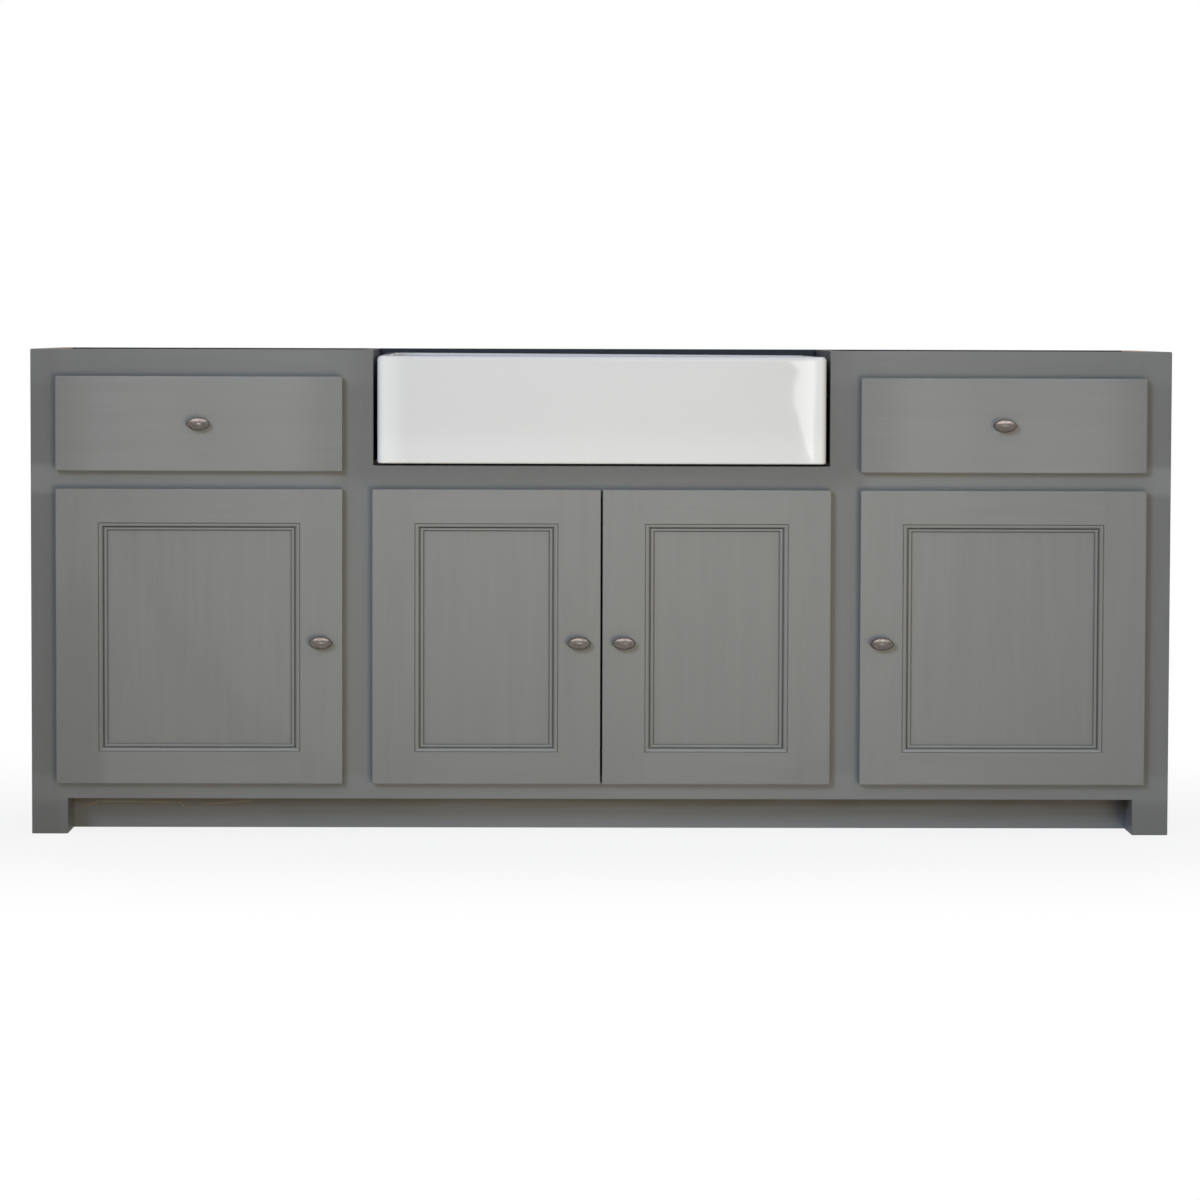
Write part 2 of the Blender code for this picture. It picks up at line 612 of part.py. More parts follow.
def build_drawer(word, side):
    """A drawer: lay-on front with its knob, a box of four walls and a grooved-in bottom."""
    low_x, high_x = span(side, MID_OUTER, STILE_INNER)
    low_x += DRAWER_SIDE_CLEARANCE
    high_x -= DRAWER_SIDE_CLEARANCE
    front = DOOR_BACK + FIT_GAP
    base = DRAWER_RAIL_TOP + FIT_GAP
    name = f"{word}_drawer"
    carrier = axis_empty(f"{name}_axis", Vector(((low_x + high_x) / 2, front, base)))
    front_x = span(side, MID_OUTER - SIDE_OVERLAY, STILE_INNER + SIDE_OVERLAY)
    front_z = (DRAWER_RAIL_TOP - END_OVERLAY, TOP_RAIL_BOTTOM + END_OVERLAY)
    board(f"{name}_front", front_x, (DOOR_FRONT, DOOR_BACK), front_z, GREY_PAINT, carrier)
    build_knob(f"{name}_knob", (low_x + high_x) / 2, sum(front_z) / 2, carrier)

    groove = DRAWER_WALL - DRAWER_GROOVE_DEPTH
    groove_low = DRAWER_BOTTOM_RISE - FIT_GAP
    groove_high = DRAWER_BOTTOM_RISE + DRAWER_BOTTOM_THICKNESS + FIT_GAP
    section = [
        (0.0, 0.0), (0.0, DRAWER_BOX_HEIGHT), (DRAWER_WALL, DRAWER_BOX_HEIGHT), (DRAWER_WALL, groove_high),
        (groove, groove_high), (groove, groove_low), (DRAWER_WALL, groove_low), (DRAWER_WALL, 0.0),
    ]
    loops = []
    for inset, height in section:
        xs = (low_x + inset, high_x - inset)
        ys = (front + inset, front + DRAWER_BOX_DEPTH - inset)
        corners = ((xs[0], ys[0]), (xs[1], ys[0]), (xs[1], ys[1]), (xs[0], ys[1]))
        loops.append([Vector((x, y, base + height)) for x, y in corners])
    place(f"{name}_box", loft(loops, closed=True), PINE, carrier)
    sink_in = groove + FIT_GAP
    place(f"{name}_bottom", box(
        (low_x + sink_in, high_x - sink_in),
        (front + sink_in, front + DRAWER_BOX_DEPTH - sink_in),
        (base + DRAWER_BOTTOM_RISE, base + DRAWER_BOTTOM_RISE + DRAWER_BOTTOM_THICKNESS),
    ), PINE, carrier)


def build_drawer_board(word, side):
    """The board that a drawer slides on, with a guide strip along each side of the drawer."""
    near = PARTITION_OUTER + FIT_GAP
    far = SIDE_INNER - FIT_GAP
    low = DRAWER_RAIL_TOP - BOARD_THICKNESS
    high = DRAWER_RAIL_TOP + GUIDE_HEIGHT
    inner_guide = MID_OUTER + DRAWER_SIDE_CLEARANCE - GUIDE_GAP
    outer_guide = STILE_INNER - DRAWER_SIDE_CLEARANCE + GUIDE_GAP
    outline = [
        (near, low), (far, low), (far, DRAWER_RAIL_TOP),
        (outer_guide + GUIDE_WIDTH, DRAWER_RAIL_TOP), (outer_guide + GUIDE_WIDTH, high),
        (outer_guide, high), (outer_guide, DRAWER_RAIL_TOP),
        (inner_guide, DRAWER_RAIL_TOP), (inner_guide, high),
        (inner_guide - GUIDE_WIDTH, high), (inner_guide - GUIDE_WIDTH, DRAWER_RAIL_TOP),
        (near, DRAWER_RAIL_TOP),
    ]
    shape = prism([(side * x, z) for x, z in outline], "Y", BOARD_FRONT, BOARD_BACK)
    place(f"drawer_board_{word}", shape, PINE)


build_face_frame()
build_carcass()
build_sink()
build_doors()
for side_word, side_sign in SIDES:
    build_drawer_board(side_word, side_sign)
    build_drawer(side_word, side_sign)
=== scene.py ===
"""A painted kitchen base cabinet with a farmhouse sink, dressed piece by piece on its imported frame.

Lengths are in metres, the front faces -Y and +Z is up. Shapes are worked out as whole arrays of points,
and finishes as shader recipes.
"""

import logging
import math
from collections.abc import Callable, Sequence
from dataclasses import dataclass
from enum import Enum
from functools import cache

import bpy
import numpy as np
from mathutils import Matrix, Vector


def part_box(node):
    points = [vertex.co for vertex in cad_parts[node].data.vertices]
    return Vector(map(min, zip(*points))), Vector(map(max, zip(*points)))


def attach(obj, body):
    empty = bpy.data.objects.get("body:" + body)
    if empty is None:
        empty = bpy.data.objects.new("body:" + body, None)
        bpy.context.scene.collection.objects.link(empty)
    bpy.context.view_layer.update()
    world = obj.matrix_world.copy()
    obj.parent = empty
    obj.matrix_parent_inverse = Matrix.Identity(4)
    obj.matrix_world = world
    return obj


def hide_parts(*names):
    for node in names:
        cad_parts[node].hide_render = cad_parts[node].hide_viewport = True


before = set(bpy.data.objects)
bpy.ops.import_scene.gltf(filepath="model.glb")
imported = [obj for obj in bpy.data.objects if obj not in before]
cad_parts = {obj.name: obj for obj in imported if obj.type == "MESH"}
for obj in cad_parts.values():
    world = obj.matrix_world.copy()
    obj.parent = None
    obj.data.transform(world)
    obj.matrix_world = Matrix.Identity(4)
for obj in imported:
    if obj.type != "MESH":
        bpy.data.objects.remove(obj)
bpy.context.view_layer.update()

LOG = logging.getLogger("cabinet")
Array = np.ndarray
Colour = tuple[float, float, float]
Point = tuple[float, float, float]
Pair = tuple[float, float]

CARCASS = "carcass"
FIT_GAP = 0.0003  # between a piece and its seat
OVERCUT = 0.01  # how far a cutter runs past the surface
POLE = 0.0006  # radius of the flat that ends a turned shape
EASE = 0.0012  # radius of a planed board's arrises
LONG_ARRIS = 1.3  # how much rounder they are along the grain
EASE_STEPS = 3
EASE_WEAR = np.sin(2 * np.linspace(0, math.pi / 2, EASE_STEPS + 1))  # most in the middle of an arris
CREASE = math.radians(38)  # sharper edges are shaded sharp
BEVEL_FROM = math.radians(50)  # sharper edges are eased


class Grain(Enum):
    """The axis that grain and brush marks run along, followed by the two axes across it."""

    X = (0, 1, 2)
    Y = (1, 0, 2)
    Z = (2, 0, 1)


class Slot(Enum):
    """The record's material slots."""

    DOOR = "door_paint"
    FRAME = "frame_paint"
    BACK = "dark_paint"
    PINE = "pine"
    SINK = "white_fireclay"
    KNOB = "antique_pewter"
    HINGE = "nickel_steel"


class Side(Enum):
    """A side of the cabinet, as its sign along X."""

    LEFT = -1
    RIGHT = 1

    @property
    def word(self) -> str:
        """The side's name as the nodes have it."""
        return self.name.lower()


def math_operator(operation: str,
                  reflected: bool = False) -> Callable[["Signal", "Signal | float"], "Signal"]:
    """Make a method that joins two values in a Math node.

    Args:
        operation: The node's operation.
        reflected: Whether self is the second operand, as in 1 - self.

    Returns:
        The method.
    """
    def apply(self: "Signal", other: "Signal | float") -> "Signal":
        """Join self and another value."""
        return self.maths(operation, other, self) if reflected else self.maths(operation, self, other)

    return apply


class Signal:
    """A shader socket that joins in Python arithmetic; each operator adds a Math node."""

    def __init__(self, recipe: "Recipe", socket: bpy.types.NodeSocket) -> None:
        """Hold a socket with the recipe that its node belongs to."""
        self.recipe = recipe
        self.socket = socket

    def maths(self, operation: str, *values: "Signal | float") -> "Signal":
        """Add a Math node.

        Args:
            operation: The node's operation.
            values: Its operands, in order.

        Returns:
            The result.
        """
        return self.recipe.node("ShaderNodeMath", {"operation": operation}, dict(enumerate(values)))

    __add__, __radd__ = math_operator("ADD"), math_operator("ADD", True)
    __sub__, __rsub__ = math_operator("SUBTRACT"), math_operator("SUBTRACT", True)
    __mul__, __rmul__ = math_operator("MULTIPLY"), math_operator("MULTIPLY", True)
    __truediv__, __rtruediv__ = math_operator("DIVIDE"), math_operator("DIVIDE", True)
    __pow__, __rpow__ = math_operator("POWER"), math_operator("POWER", True)
    at_least = math_operator("MAXIMUM")

    def __abs__(self) -> "Signal":
        """The size of self without its sign."""
        return self.maths("ABSOLUTE", self)

    def floor(self) -> "Signal":
        """The whole number below."""
        return self.maths("FLOOR", self)

    def part(self) -> "Signal":
        """What is left above the whole number below."""
        return self.maths("FRACT", self)

    def ease(self, low: float, high: float) -> "Signal":
        """Rise smoothly from 0 at low to 1 at high, or fall where low is the larger."""
        settings = {"interpolation_type": "SMOOTHSTEP"}
        if low < high:
            return self.recipe.node("ShaderNodeMapRange", settings, {0: self, 1: low, 2: high})
        return 1.0 - self.ease(high, low)

    def band(self, start: float, full: float, still: float, end: float) -> "Signal":
        """Rise smoothly from start to full, and fall again from still to end."""
        return self.ease(start, full) * self.ease(end, still)


class Recipe:
    """A shader tree that is written as Python expressions."""

    def __init__(self, tree: bpy.types.NodeTree) -> None:
        """Start from an empty tree."""
        self.tree = tree
        tree.nodes.clear()
        self._place: Signal | None = None

    def node(self, kind: str, settings: dict[str, object] | None = None,
             inputs: dict[str | int, object] | None = None, output: str | int = 0) -> Signal:
        """Add any node.

        Args:
            kind: The node's type.
            settings: Its properties, which are set first.
            inputs: Values or links by socket name or number.
            output: The socket to hand back.

        Returns:
            That output.
        """
        made = self.tree.nodes.new(kind)
        for key, value in (settings or {}).items():
            setattr(made, key, value)
        for key, value in (inputs or {}).items():
            if isinstance(value, Signal):
                self.tree.links.new(value.socket, made.inputs[key])
            else:
                made.inputs[key].default_value = value
        return Signal(self, made.outputs[output] if made.outputs else made.inputs[0])

    @property
    def place(self) -> Signal:
        """The point on the piece, in object coordinates."""
        if self._place is None:
            self._place = self.node("ShaderNodeTexCoord", output="Object")
        return self._place

    def axes(self, grain: Grain = Grain.X) -> tuple[Signal, Signal, Signal]:
        """The point's coordinate along a grain axis and the two across it."""
        split = self.node("ShaderNodeSeparateXYZ", inputs={0: self.place}).socket.node
        return tuple(Signal(self, split.outputs[axis]) for axis in grain.value)

    def vector(self, *parts: Signal | float) -> Signal:
        """A vector from three values."""
        return self.node("ShaderNodeCombineXYZ", inputs=dict(enumerate(parts)))

    def noise(self, vector: Signal, scale: float, detail: float = 2.0, distortion: float = 0.0) -> Signal:
        """Smooth noise between 0 and 1 on a vector."""
        inputs = {"Vector": vector, "Scale": scale, "Detail": detail, "Distortion": distortion}
        return self.node("ShaderNodeTexNoise", inputs=inputs)

    def drawn(self, axes: Sequence[Signal], along: float, across: float, detail: float = 2.0,
              distortion: float = 0.0) -> Signal:
        """Noise that is drawn out along the first of three axes, by its scales along it and across it."""
        scaled = self.vector(axes[0] * along, axes[1] * across, axes[2] * across)
        return self.noise(scaled, 1.0, detail, distortion)

    def attribute(self, name: str) -> Signal:
        """A value that the mesh carries, or 0 where it has none."""
        return self.node("ShaderNodeAttribute", {"attribute_name": name}, output="Fac")

    def shade(self, colour: Colour | Signal, tone: Signal) -> Signal:
        """A colour made lighter or darker by a value."""
        return self.node("ShaderNodeVectorMath", {"operation": "SCALE"}, {0: colour, "Scale": tone})

    def mix(self, share: Signal | float, first: Colour | Signal, second: Colour | Signal) -> Signal:
        """The first colour giving way to the second as share goes from 0 to 1."""
        ends = [value if isinstance(value, Signal) else (*value, 1.0) for value in (first, second)]
        return self.node("ShaderNodeMix", {"data_type": "RGBA"}, {0: share, 6: ends[0], 7: ends[1]}, output=2)

    def bump(self, height: Signal, depth: float, strength: float = 1.0) -> Signal:
        """A normal that is pushed in and out by a height."""
        return self.node("ShaderNodeBump", inputs={"Height": height, "Distance": depth, "Strength": strength})

    def surface(self, inputs: dict[str, object]) -> None:
        """End the recipe in a Principled shader with these sockets."""
        shader = self.node("ShaderNodeBsdfPrincipled", inputs=inputs)
        self.node("ShaderNodeOutputMaterial", inputs={"Surface": shader})


class Finish:
    """A surface finish, which its subclasses mix into a recipe."""

    name: str

    def mixed(self, recipe: Recipe) -> None:
        """Write the finish into an empty recipe."""
        raise NotImplementedError


@cache
def material(finish: Finish) -> bpy.types.Material:
    """Make a finish's material, once.

    Args:
        finish: The finish.

    Returns:
        The material that every piece with that finish shares.
    """
    made = bpy.data.materials.new(finish.name)
    made.use_nodes = True
    finish.mixed(Recipe(made.node_tree))
    return made


@dataclass(frozen=True)
class Scratch:
    """A short straight mark on a front, by the middle of its length; turn is in degrees from +X to +Z."""

    x: float
    z: float
    turn: float
    length: float
    width: float

    def mask(self, recipe: Recipe) -> Signal:
        """1 on the mark and 0 off it, with a frayed edge."""
        x, _, z = recipe.axes()
        cos, sin = math.cos(math.radians(self.turn)), math.sin(math.radians(self.turn))
        right, up = x - self.x, z - self.z
        fray = recipe.noise(recipe.place, 900.0)
        along = abs(right * cos + up * sin)
        across = abs(up * cos - right * sin) + fray * self.width
        return along.ease(self.length / 2, self.length / 3) * across.ease(self.width, self.width * 0.5)


@dataclass(frozen=True)
class BrushedPaint(Finish):
    """Satin paint laid on with a brush: strokes along the grain, rubbed paler on the arrises.

    Strokes, left by single hairs, and broader streaks are counted per metre, along the grain and across it.
    In the kinds of paint below, a pair of places is where a change starts and where it is complete.
    """

    name: str
    colour: Colour
    grain: Grain
    pale: tuple[Scratch, ...] = ()
    dark: tuple[Scratch, ...] = ()
    strokes: Pair = (9.0, 420.0)
    streaks: Pair = (4.0, 60.0)
    dent: Colour = (0.06, 0.06, 0.065)

    def mixed(self, recipe: Recipe) -> None:
        """Streak the colour along the grain, rub the arrises and add the marks."""
        axes = recipe.axes(self.grain)
        strokes = recipe.drawn(axes, *self.strokes)
        streaks = recipe.drawn(axes, *self.streaks, 3.0)
        clouds = recipe.noise(recipe.place, 2.6)
        base = recipe.shade(self.colour, 0.845 + strokes * 0.10 + streaks * 0.11 + clouds * 0.10)
        rubbed = recipe.attribute("arris") * recipe.noise(recipe.place, 45.0, 3.0).ease(0.40, 0.75)
        paler = tuple(0.72 * part + 0.13 for part in self.colour)
        base = recipe.mix(rubbed * 0.5, base, paler)
        for mark in self.pale:
            base = recipe.mix(mark.mask(recipe) * 0.45, base, paler)
        for mark in self.dark:
            base = recipe.mix(mark.mask(recipe) * 0.7, base, self.dent)
        recipe.surface({
            "Base Color": self.worn(recipe, base),
            "Roughness": 0.37 + strokes * 0.10 + clouds * 0.06,
            "Normal": recipe.bump(strokes * 0.7 + streaks * 0.5, 0.0004, 0.35),
        })

    def worn(self, recipe: Recipe, base: Signal) -> Signal:
        """The colour with one place's wear, painted light and painted shade; the plain paint has none."""
        return base


@dataclass(frozen=True)
class DoorPaint(BrushedPaint):
    """The doors' paint, with painted shade that darkens it towards the floor, most below the sink and on the
    far left stile.
    """

    painted_falloff: float = 0.13
    height: Pair = (0.62, 0.02)
    outer_doors: Pair = (0.41, 0.45)
    far_stile: Pair = (-0.87, -0.89)
    far_stile_height: Pair = (0.53, 0.38)

    def worn(self, recipe: Recipe, base: Signal) -> Signal:
        """Paint shade that darkens by height, half as much on the outer doors, which are painted a little
        lighter, and low on the far left stile.
        """
        x, _, z = recipe.axes()
        outer = abs(x).ease(*self.outer_doors)
        far_left = x.ease(*self.far_stile) * z.ease(*self.far_stile_height)
        # painted shade: darker towards the floor and low on the far left stile; painted light: the outer
        # doors a little lighter
        painted_shade = self.painted_falloff * z.ease(*self.height) * (1.0 - 0.5 * outer) + 0.10 * far_left
        return recipe.shade(base, 1.0 + 0.025 * outer - painted_shade)


@dataclass(frozen=True)
class DrawerPaint(BrushedPaint):
    """The drawer fronts' paint, with painted shade at both ends and painted light on the outer half."""

    inner_end: Pair = (0.57, 0.46)
    outer_end: Pair = (0.87, 0.97)
    outer_half: Pair = (0.68, 0.80)

    def worn(self, recipe: Recipe, base: Signal) -> Signal:
        """Paint light and shade by the distance from the cabinet's middle."""
        aside = abs(recipe.axes()[0])
        # painted shade darkening both ends, painted light on the outer half
        ends = 0.17 * aside.ease(*self.inner_end) + 0.18 * aside.ease(*self.outer_end)
        return recipe.shade(base, 1.0 + 0.05 * aside.ease(*self.outer_half) - ends)


@dataclass(frozen=True)
class FramePaint(BrushedPaint):
    """The frame's paint: painted shade about the sink, on the feet and far left, painted light on rails and
    mid stiles.

    The bands of the bottom rail and the drawer rails are heights: paler from, to, and back again from, to.
    """

    sink_half: float = 0.40
    sink_foot: float = 0.655
    reach: float = 0.110
    drop: float = 1.8
    # the colour of the painted shade about the sink
    painted_shade: Colour = (0.055, 0.054, 0.052)
    bottom_rail: tuple[float, ...] = (0.055, 0.068, 0.100, 0.112)
    drawer_rail: tuple[float, ...] = (0.598, 0.612, 0.648, 0.664)
    drawer_rail_start: Pair = (0.455, 0.485)
    top_rail: Pair = (0.79, 0.81)
    mid_stiles: Pair = (0.48, 0.46)
    mid_stile_foot: Pair = (0.085, 0.115)
    far_stile: Pair = (-0.95, -0.97)
    feet: Pair = (0.06, 0.04)
    front: Pair = (-0.2410, -0.2425)

    def worn(self, recipe: Recipe, base: Signal) -> Signal:
        """Paint shade by the distance from the sink's front, and paint light and shade on the front member by
        member.
        """
        x, y, z = recipe.axes()
        aside = abs(x)
        beside = (aside - self.sink_half).at_least(0.0)
        below = (self.sink_foot - z).at_least(0.0) * self.drop
        away = (beside ** 2.0 + below ** 2.0) ** 0.5
        # painted shade about the sink and under it
        sink_shade = away.ease(self.reach, 0.0) * (0.8 + 0.4 * recipe.noise(recipe.place, 20.0, 3.0))
        # painted light on the rails and mid stiles, painted shade on the far left stile and the feet
        rails = 0.14 * z.band(*self.bottom_rail) + 0.11 * z.ease(*self.top_rail)
        rails = rails + 0.30 * z.band(*self.drawer_rail) * aside.ease(*self.drawer_rail_start)
        stiles = 0.08 * aside.ease(*self.mid_stiles) * z.ease(*self.mid_stile_foot)
        painted_dark = 0.09 * x.ease(*self.far_stile) + 0.10 * z.ease(*self.feet)
        painted_light_and_shade = (rails + stiles - painted_dark) * y.ease(*self.front)
        return recipe.mix(sink_shade * 0.38, recipe.shade(base, 1.0 + painted_light_and_shade), self.painted_shade)


@dataclass(frozen=True)
class KickboardPaint(BrushedPaint):
    """The kickboard's thin coat: a dark brown band along the top, partly thin paint and partly painted shade
    under the bottom rail, with scuffs from shoes.
    """

    scuffs: tuple[Scratch, ...] = ()
    top: float = 0.063
    thin_paint_and_shade: Colour = (0.086, 0.068, 0.045)
    wood: Colour = (0.30, 0.21, 0.11)
    kicked: Pair = (-0.80, -0.92)
    kicked_height: Pair = (0.030, 0.048)

    def worn(self, recipe: Recipe, base: Signal) -> Signal:
        """Darken the top edge, as thin paint and painted shade, and let wood through in scuffs and in a few
        kicked patches.
        """
        x, _, z = recipe.axes()
        ragged = recipe.noise(recipe.vector(x * 5.0, 0.0, z * 60.0), 1.0, 4.0)
        # a dark band along the top: thin paint and painted shade under the bottom rail
        thin = (z + ragged * 0.022).ease(self.top - 0.020, self.top + 0.002)
        base = recipe.mix(thin * 0.85, base, self.thin_paint_and_shade)
        for mark in self.scuffs:
            base = recipe.mix(mark.mask(recipe) * 0.9, base, self.wood)
        patch = recipe.noise(recipe.vector(x * 16.0, 3.0, z * 95.0), 1.0, 3.0, 0.6).ease(0.66, 0.74)
        near = x.ease(*self.kicked) * z.ease(*self.kicked_height)
        return recipe.mix(patch * near * 0.8, base, self.wood)


@dataclass(frozen=True)
class Pine(Finish):
    """Varnished pine in edge-glued staves, with growth rings, fibres and a few knots."""

    name: str
    grain: Grain
    stave: float = 0.094
    early: Colour = (0.62, 0.44, 0.25)
    late: Colour = (0.44, 0.26, 0.115)
    knot: Colour = (0.16, 0.075, 0.030)

    def mixed(self, recipe: Recipe) -> None:
        """Draw each stave's rings from its own start, and darken the late wood and the knots."""
        along, across, through = recipe.axes(self.grain)
        number = (across / self.stave).floor() + (through / self.stave).floor() * 7.0
        lot = recipe.node("ShaderNodeTexWhiteNoise", {"noise_dimensions": "1D"}, {"W": number})
        start = along + lot * 9.0
        bend = recipe.drawn((start, across, through), 1.7, 11.0)
        cell = recipe.vector(start * 2.1, across * 9.0, through * 9.0)
        away = recipe.node("ShaderNodeTexVoronoi", inputs={"Vector": cell, "Scale": 1.0})
        knots = away.ease(0.13, 0.05) * recipe.noise(cell, 0.8).ease(0.56, 0.60)
        swirl = away.ease(0.5, 0.0) * 0.6
        rings = ((across + through * 0.7 + lot * 0.05) * 62.0 + bend * 5.0 + swirl).part()
        ripe = rings ** 3.0
        fibres = recipe.drawn((along, across, through), 9.0, 900.0)
        clouds = recipe.noise(recipe.vector(start, across, through), 5.0)
        base = recipe.mix(ripe * 0.62, self.early, self.late)
        base = recipe.shade(base, 0.80 + lot * 0.14 + fibres * 0.12 + clouds * 0.14)
        recipe.surface({
            "Base Color": recipe.mix(knots * 0.85, base, self.knot),
            "Roughness": 0.42 + fibres * 0.16 - ripe * 0.06,
            "Normal": recipe.bump(fibres * 0.6 + ripe * 0.4, 0.0002, 0.4),
        })


@dataclass(frozen=True)
class PineEnd(Finish):
    """Sawn end grain: arcs of growth rings about a far heart, darker than a board's face."""

    name: str
    grain: Grain
    heart: Pair = (-0.31, 0.17)
    early: Colour = (0.47, 0.31, 0.16)
    late: Colour = (0.27, 0.15, 0.065)

    def mixed(self, recipe: Recipe) -> None:
        """Draw the rings by the distance from the heart, with pores between them."""
        _, across, through = recipe.axes(self.grain)
        away = ((across - self.heart[0]) ** 2.0 + (through - self.heart[1]) ** 2.0) ** 0.5
        ripe = ((away + recipe.noise(recipe.place, 30.0) * 0.004) * 260.0).part() ** 2.0
        pores = recipe.noise(recipe.place, 1500.0, 1.0)
        base = recipe.mix(ripe * 0.7, self.early, self.late)
        recipe.surface({
            "Base Color": recipe.shade(base, 0.82 + pores * 0.34),
            "Roughness": 0.62 + pores * 0.16,
            "Normal": recipe.bump(pores, 0.0003, 0.5),
        })


@dataclass(frozen=True)
class SlatePaint(Finish):
    """Thin dark slate paint rolled on to plywood, with the veneer's figure just showing."""

    name: str = "dark slate paint"
    deep: Colour = (0.013, 0.017, 0.026)
    figure: Colour = (0.026, 0.031, 0.043)
    dust: Colour = (0.16, 0.16, 0.155)

    def mixed(self, recipe: Recipe) -> None:
        """Darken and lighten along the veneer, with a rolled stipple and a little dust."""
        veneer = recipe.drawn(recipe.axes(), 1.6, 26.0, 4.0, 0.8)
        stipple = recipe.noise(recipe.place, 700.0)
        dusty = recipe.noise(recipe.place, 3.5, 4.0).ease(0.5, 0.8)
        base = recipe.mix(veneer * 0.8, self.deep, self.figure)
        recipe.surface({
            "Base Color": recipe.mix(dusty * 0.10, base, self.dust),
            "Roughness": 0.50 + stipple * 0.14,
            "Normal": recipe.bump(stipple * 0.6 + veneer * 0.4, 0.0003, 0.4),
        })


@dataclass(frozen=True)
class Fireclay(Finish):
    """White glaze over fireclay: a soft wave in the gloss, a painted reflection paler towards the ends and
    foot, with fine specks.
    """

    name: str = "white glazed fireclay"
    thin: Colour = (0.580, 0.560, 0.552)
    thick: Colour = (0.604, 0.584, 0.576)
    painted_reflection: Colour = (0.700, 0.684, 0.672)
    speck: Colour = (0.50, 0.48, 0.44)
    ends: Pair = (0.34, 0.385)
    foot: Pair = (0.735, 0.67)

    def mixed(self, recipe: Recipe) -> None:
        """Wave the glaze gently, and whiten it towards the ends of the front and its foot as a painted
        reflection.
        """
        x, _, z = recipe.axes()
        thick = recipe.noise(recipe.place, 6.0, 3.0)
        wave = recipe.noise(recipe.place, 17.0, 1.0)
        specks = recipe.noise(recipe.place, 420.0, 1.0).ease(0.76, 0.80)
        # painted reflection: paler glaze towards the ends of the front and its foot
        painted_reflection = abs(x).ease(*self.ends) * 0.75 + z.ease(*self.foot) * 0.35
        base = recipe.mix(painted_reflection, recipe.mix(thick, self.thin, self.thick), self.painted_reflection)
        recipe.surface({
            "Base Color": recipe.mix(specks * 0.35, base, self.speck),
            "Roughness": 0.03 + thick * 0.02,
            "Normal": recipe.bump(wave, 0.0012, 0.07),
        })


@dataclass(frozen=True)
class AgedPewter(Finish):
    """Cast pewter with a brown patina, rubbed brighter in patches."""

    name: str = "aged pewter"
    rubbed: Colour = (0.335, 0.295, 0.272)
    brown: Colour = (0.23, 0.196, 0.177)

    def mixed(self, recipe: Recipe) -> None:
        """Mottle the patina, and roughen it where it is darkest."""
        patina = recipe.noise(recipe.place, 210.0, 4.0, 0.5)
        pits = recipe.noise(recipe.place, 700.0, 2.0)
        stain = patina.ease(0.36, 0.66)
        recipe.surface({
            "Base Color": recipe.shade(recipe.mix(stain, self.rubbed, self.brown), 0.86 + pits * 0.28),
            "Metallic": 1.0,
            "Roughness": 0.25 + stain * 0.07 + pits * 0.05,
            "Normal": recipe.bump(patina * 0.7 + pits * 0.5, 0.0003, 0.3),
        })


@dataclass(frozen=True)
class NickelSteel(Finish):
    """Nickel-plated pressed steel, with fine drawn lines and a dulled bloom."""

    name: str = "nickel plated steel"
    bright: Colour = (0.60, 0.59, 0.565)
    painted_dark: Colour = (0.47, 0.46, 0.44)

    def mixed(self, recipe: Recipe) -> None:
        """Draw fine lines and cloud the gloss."""
        x, y, z = recipe.axes()
        lines = recipe.noise(recipe.vector(x * 900.0, y * 900.0, z * 40.0), 1.0)
        bloom = recipe.noise(recipe.place, 160.0, 3.0)
        recipe.surface({
            "Base Color": recipe.mix(bloom, self.bright, self.painted_dark),
            "Metallic": 1.0,
            "Roughness": 0.20 + bloom * 0.14 + lines * 0.08,
            "Normal": recipe.bump(lines, 0.0001, 0.3),
        })


@dataclass(frozen=True)
class SoftBuffer(Finish):
    """Milky soft plastic of a stick-on door buffer."""

    name: str = "milky buffer plastic"
    clean: Colour = (0.60, 0.61, 0.60)
    dusty: Colour = (0.48, 0.48, 0.46)

    def mixed(self, recipe: Recipe) -> None:
        """Cloud the plastic a little, with dust held on it."""
        dust = recipe.noise(recipe.place, 380.0, 3.0)
        recipe.surface({
            "Base Color": recipe.mix(dust, self.clean, self.dusty),
            "Roughness": 0.30 + dust * 0.25,
        })


DOOR_COLOUR = (0.199, 0.195, 0.184)
FRAME_COLOUR = (0.150, 0.149, 0.145)
RAIL_MARKS = (Scratch(0.941, 0.842, 26.0, 0.022, 0.0006), Scratch(0.86, 0.073, 4.0, 0.012, 0.0008))
DRAWER_MARKS = (Scratch(-0.522, 0.758, 65.0, 0.007, 0.0009),)
KICK_MARKS = (Scratch(0.030, 0.033, 14.0, 0.040, 0.0012), Scratch(0.052, 0.039, 34.0, 0.016, 0.0010),
              Scratch(-0.36, 0.028, -6.0, 0.030, 0.0008))
KICK_SCUFFS = (Scratch(-0.918, 0.0405, 20.0, 0.036, 0.0036), Scratch(-0.833, 0.0455, -1.0, 0.170, 0.0030),
               Scratch(-0.752, 0.0410, -48.0, 0.018, 0.0026), Scratch(-0.672, 0.0445, 4.0, 0.100, 0.0026))

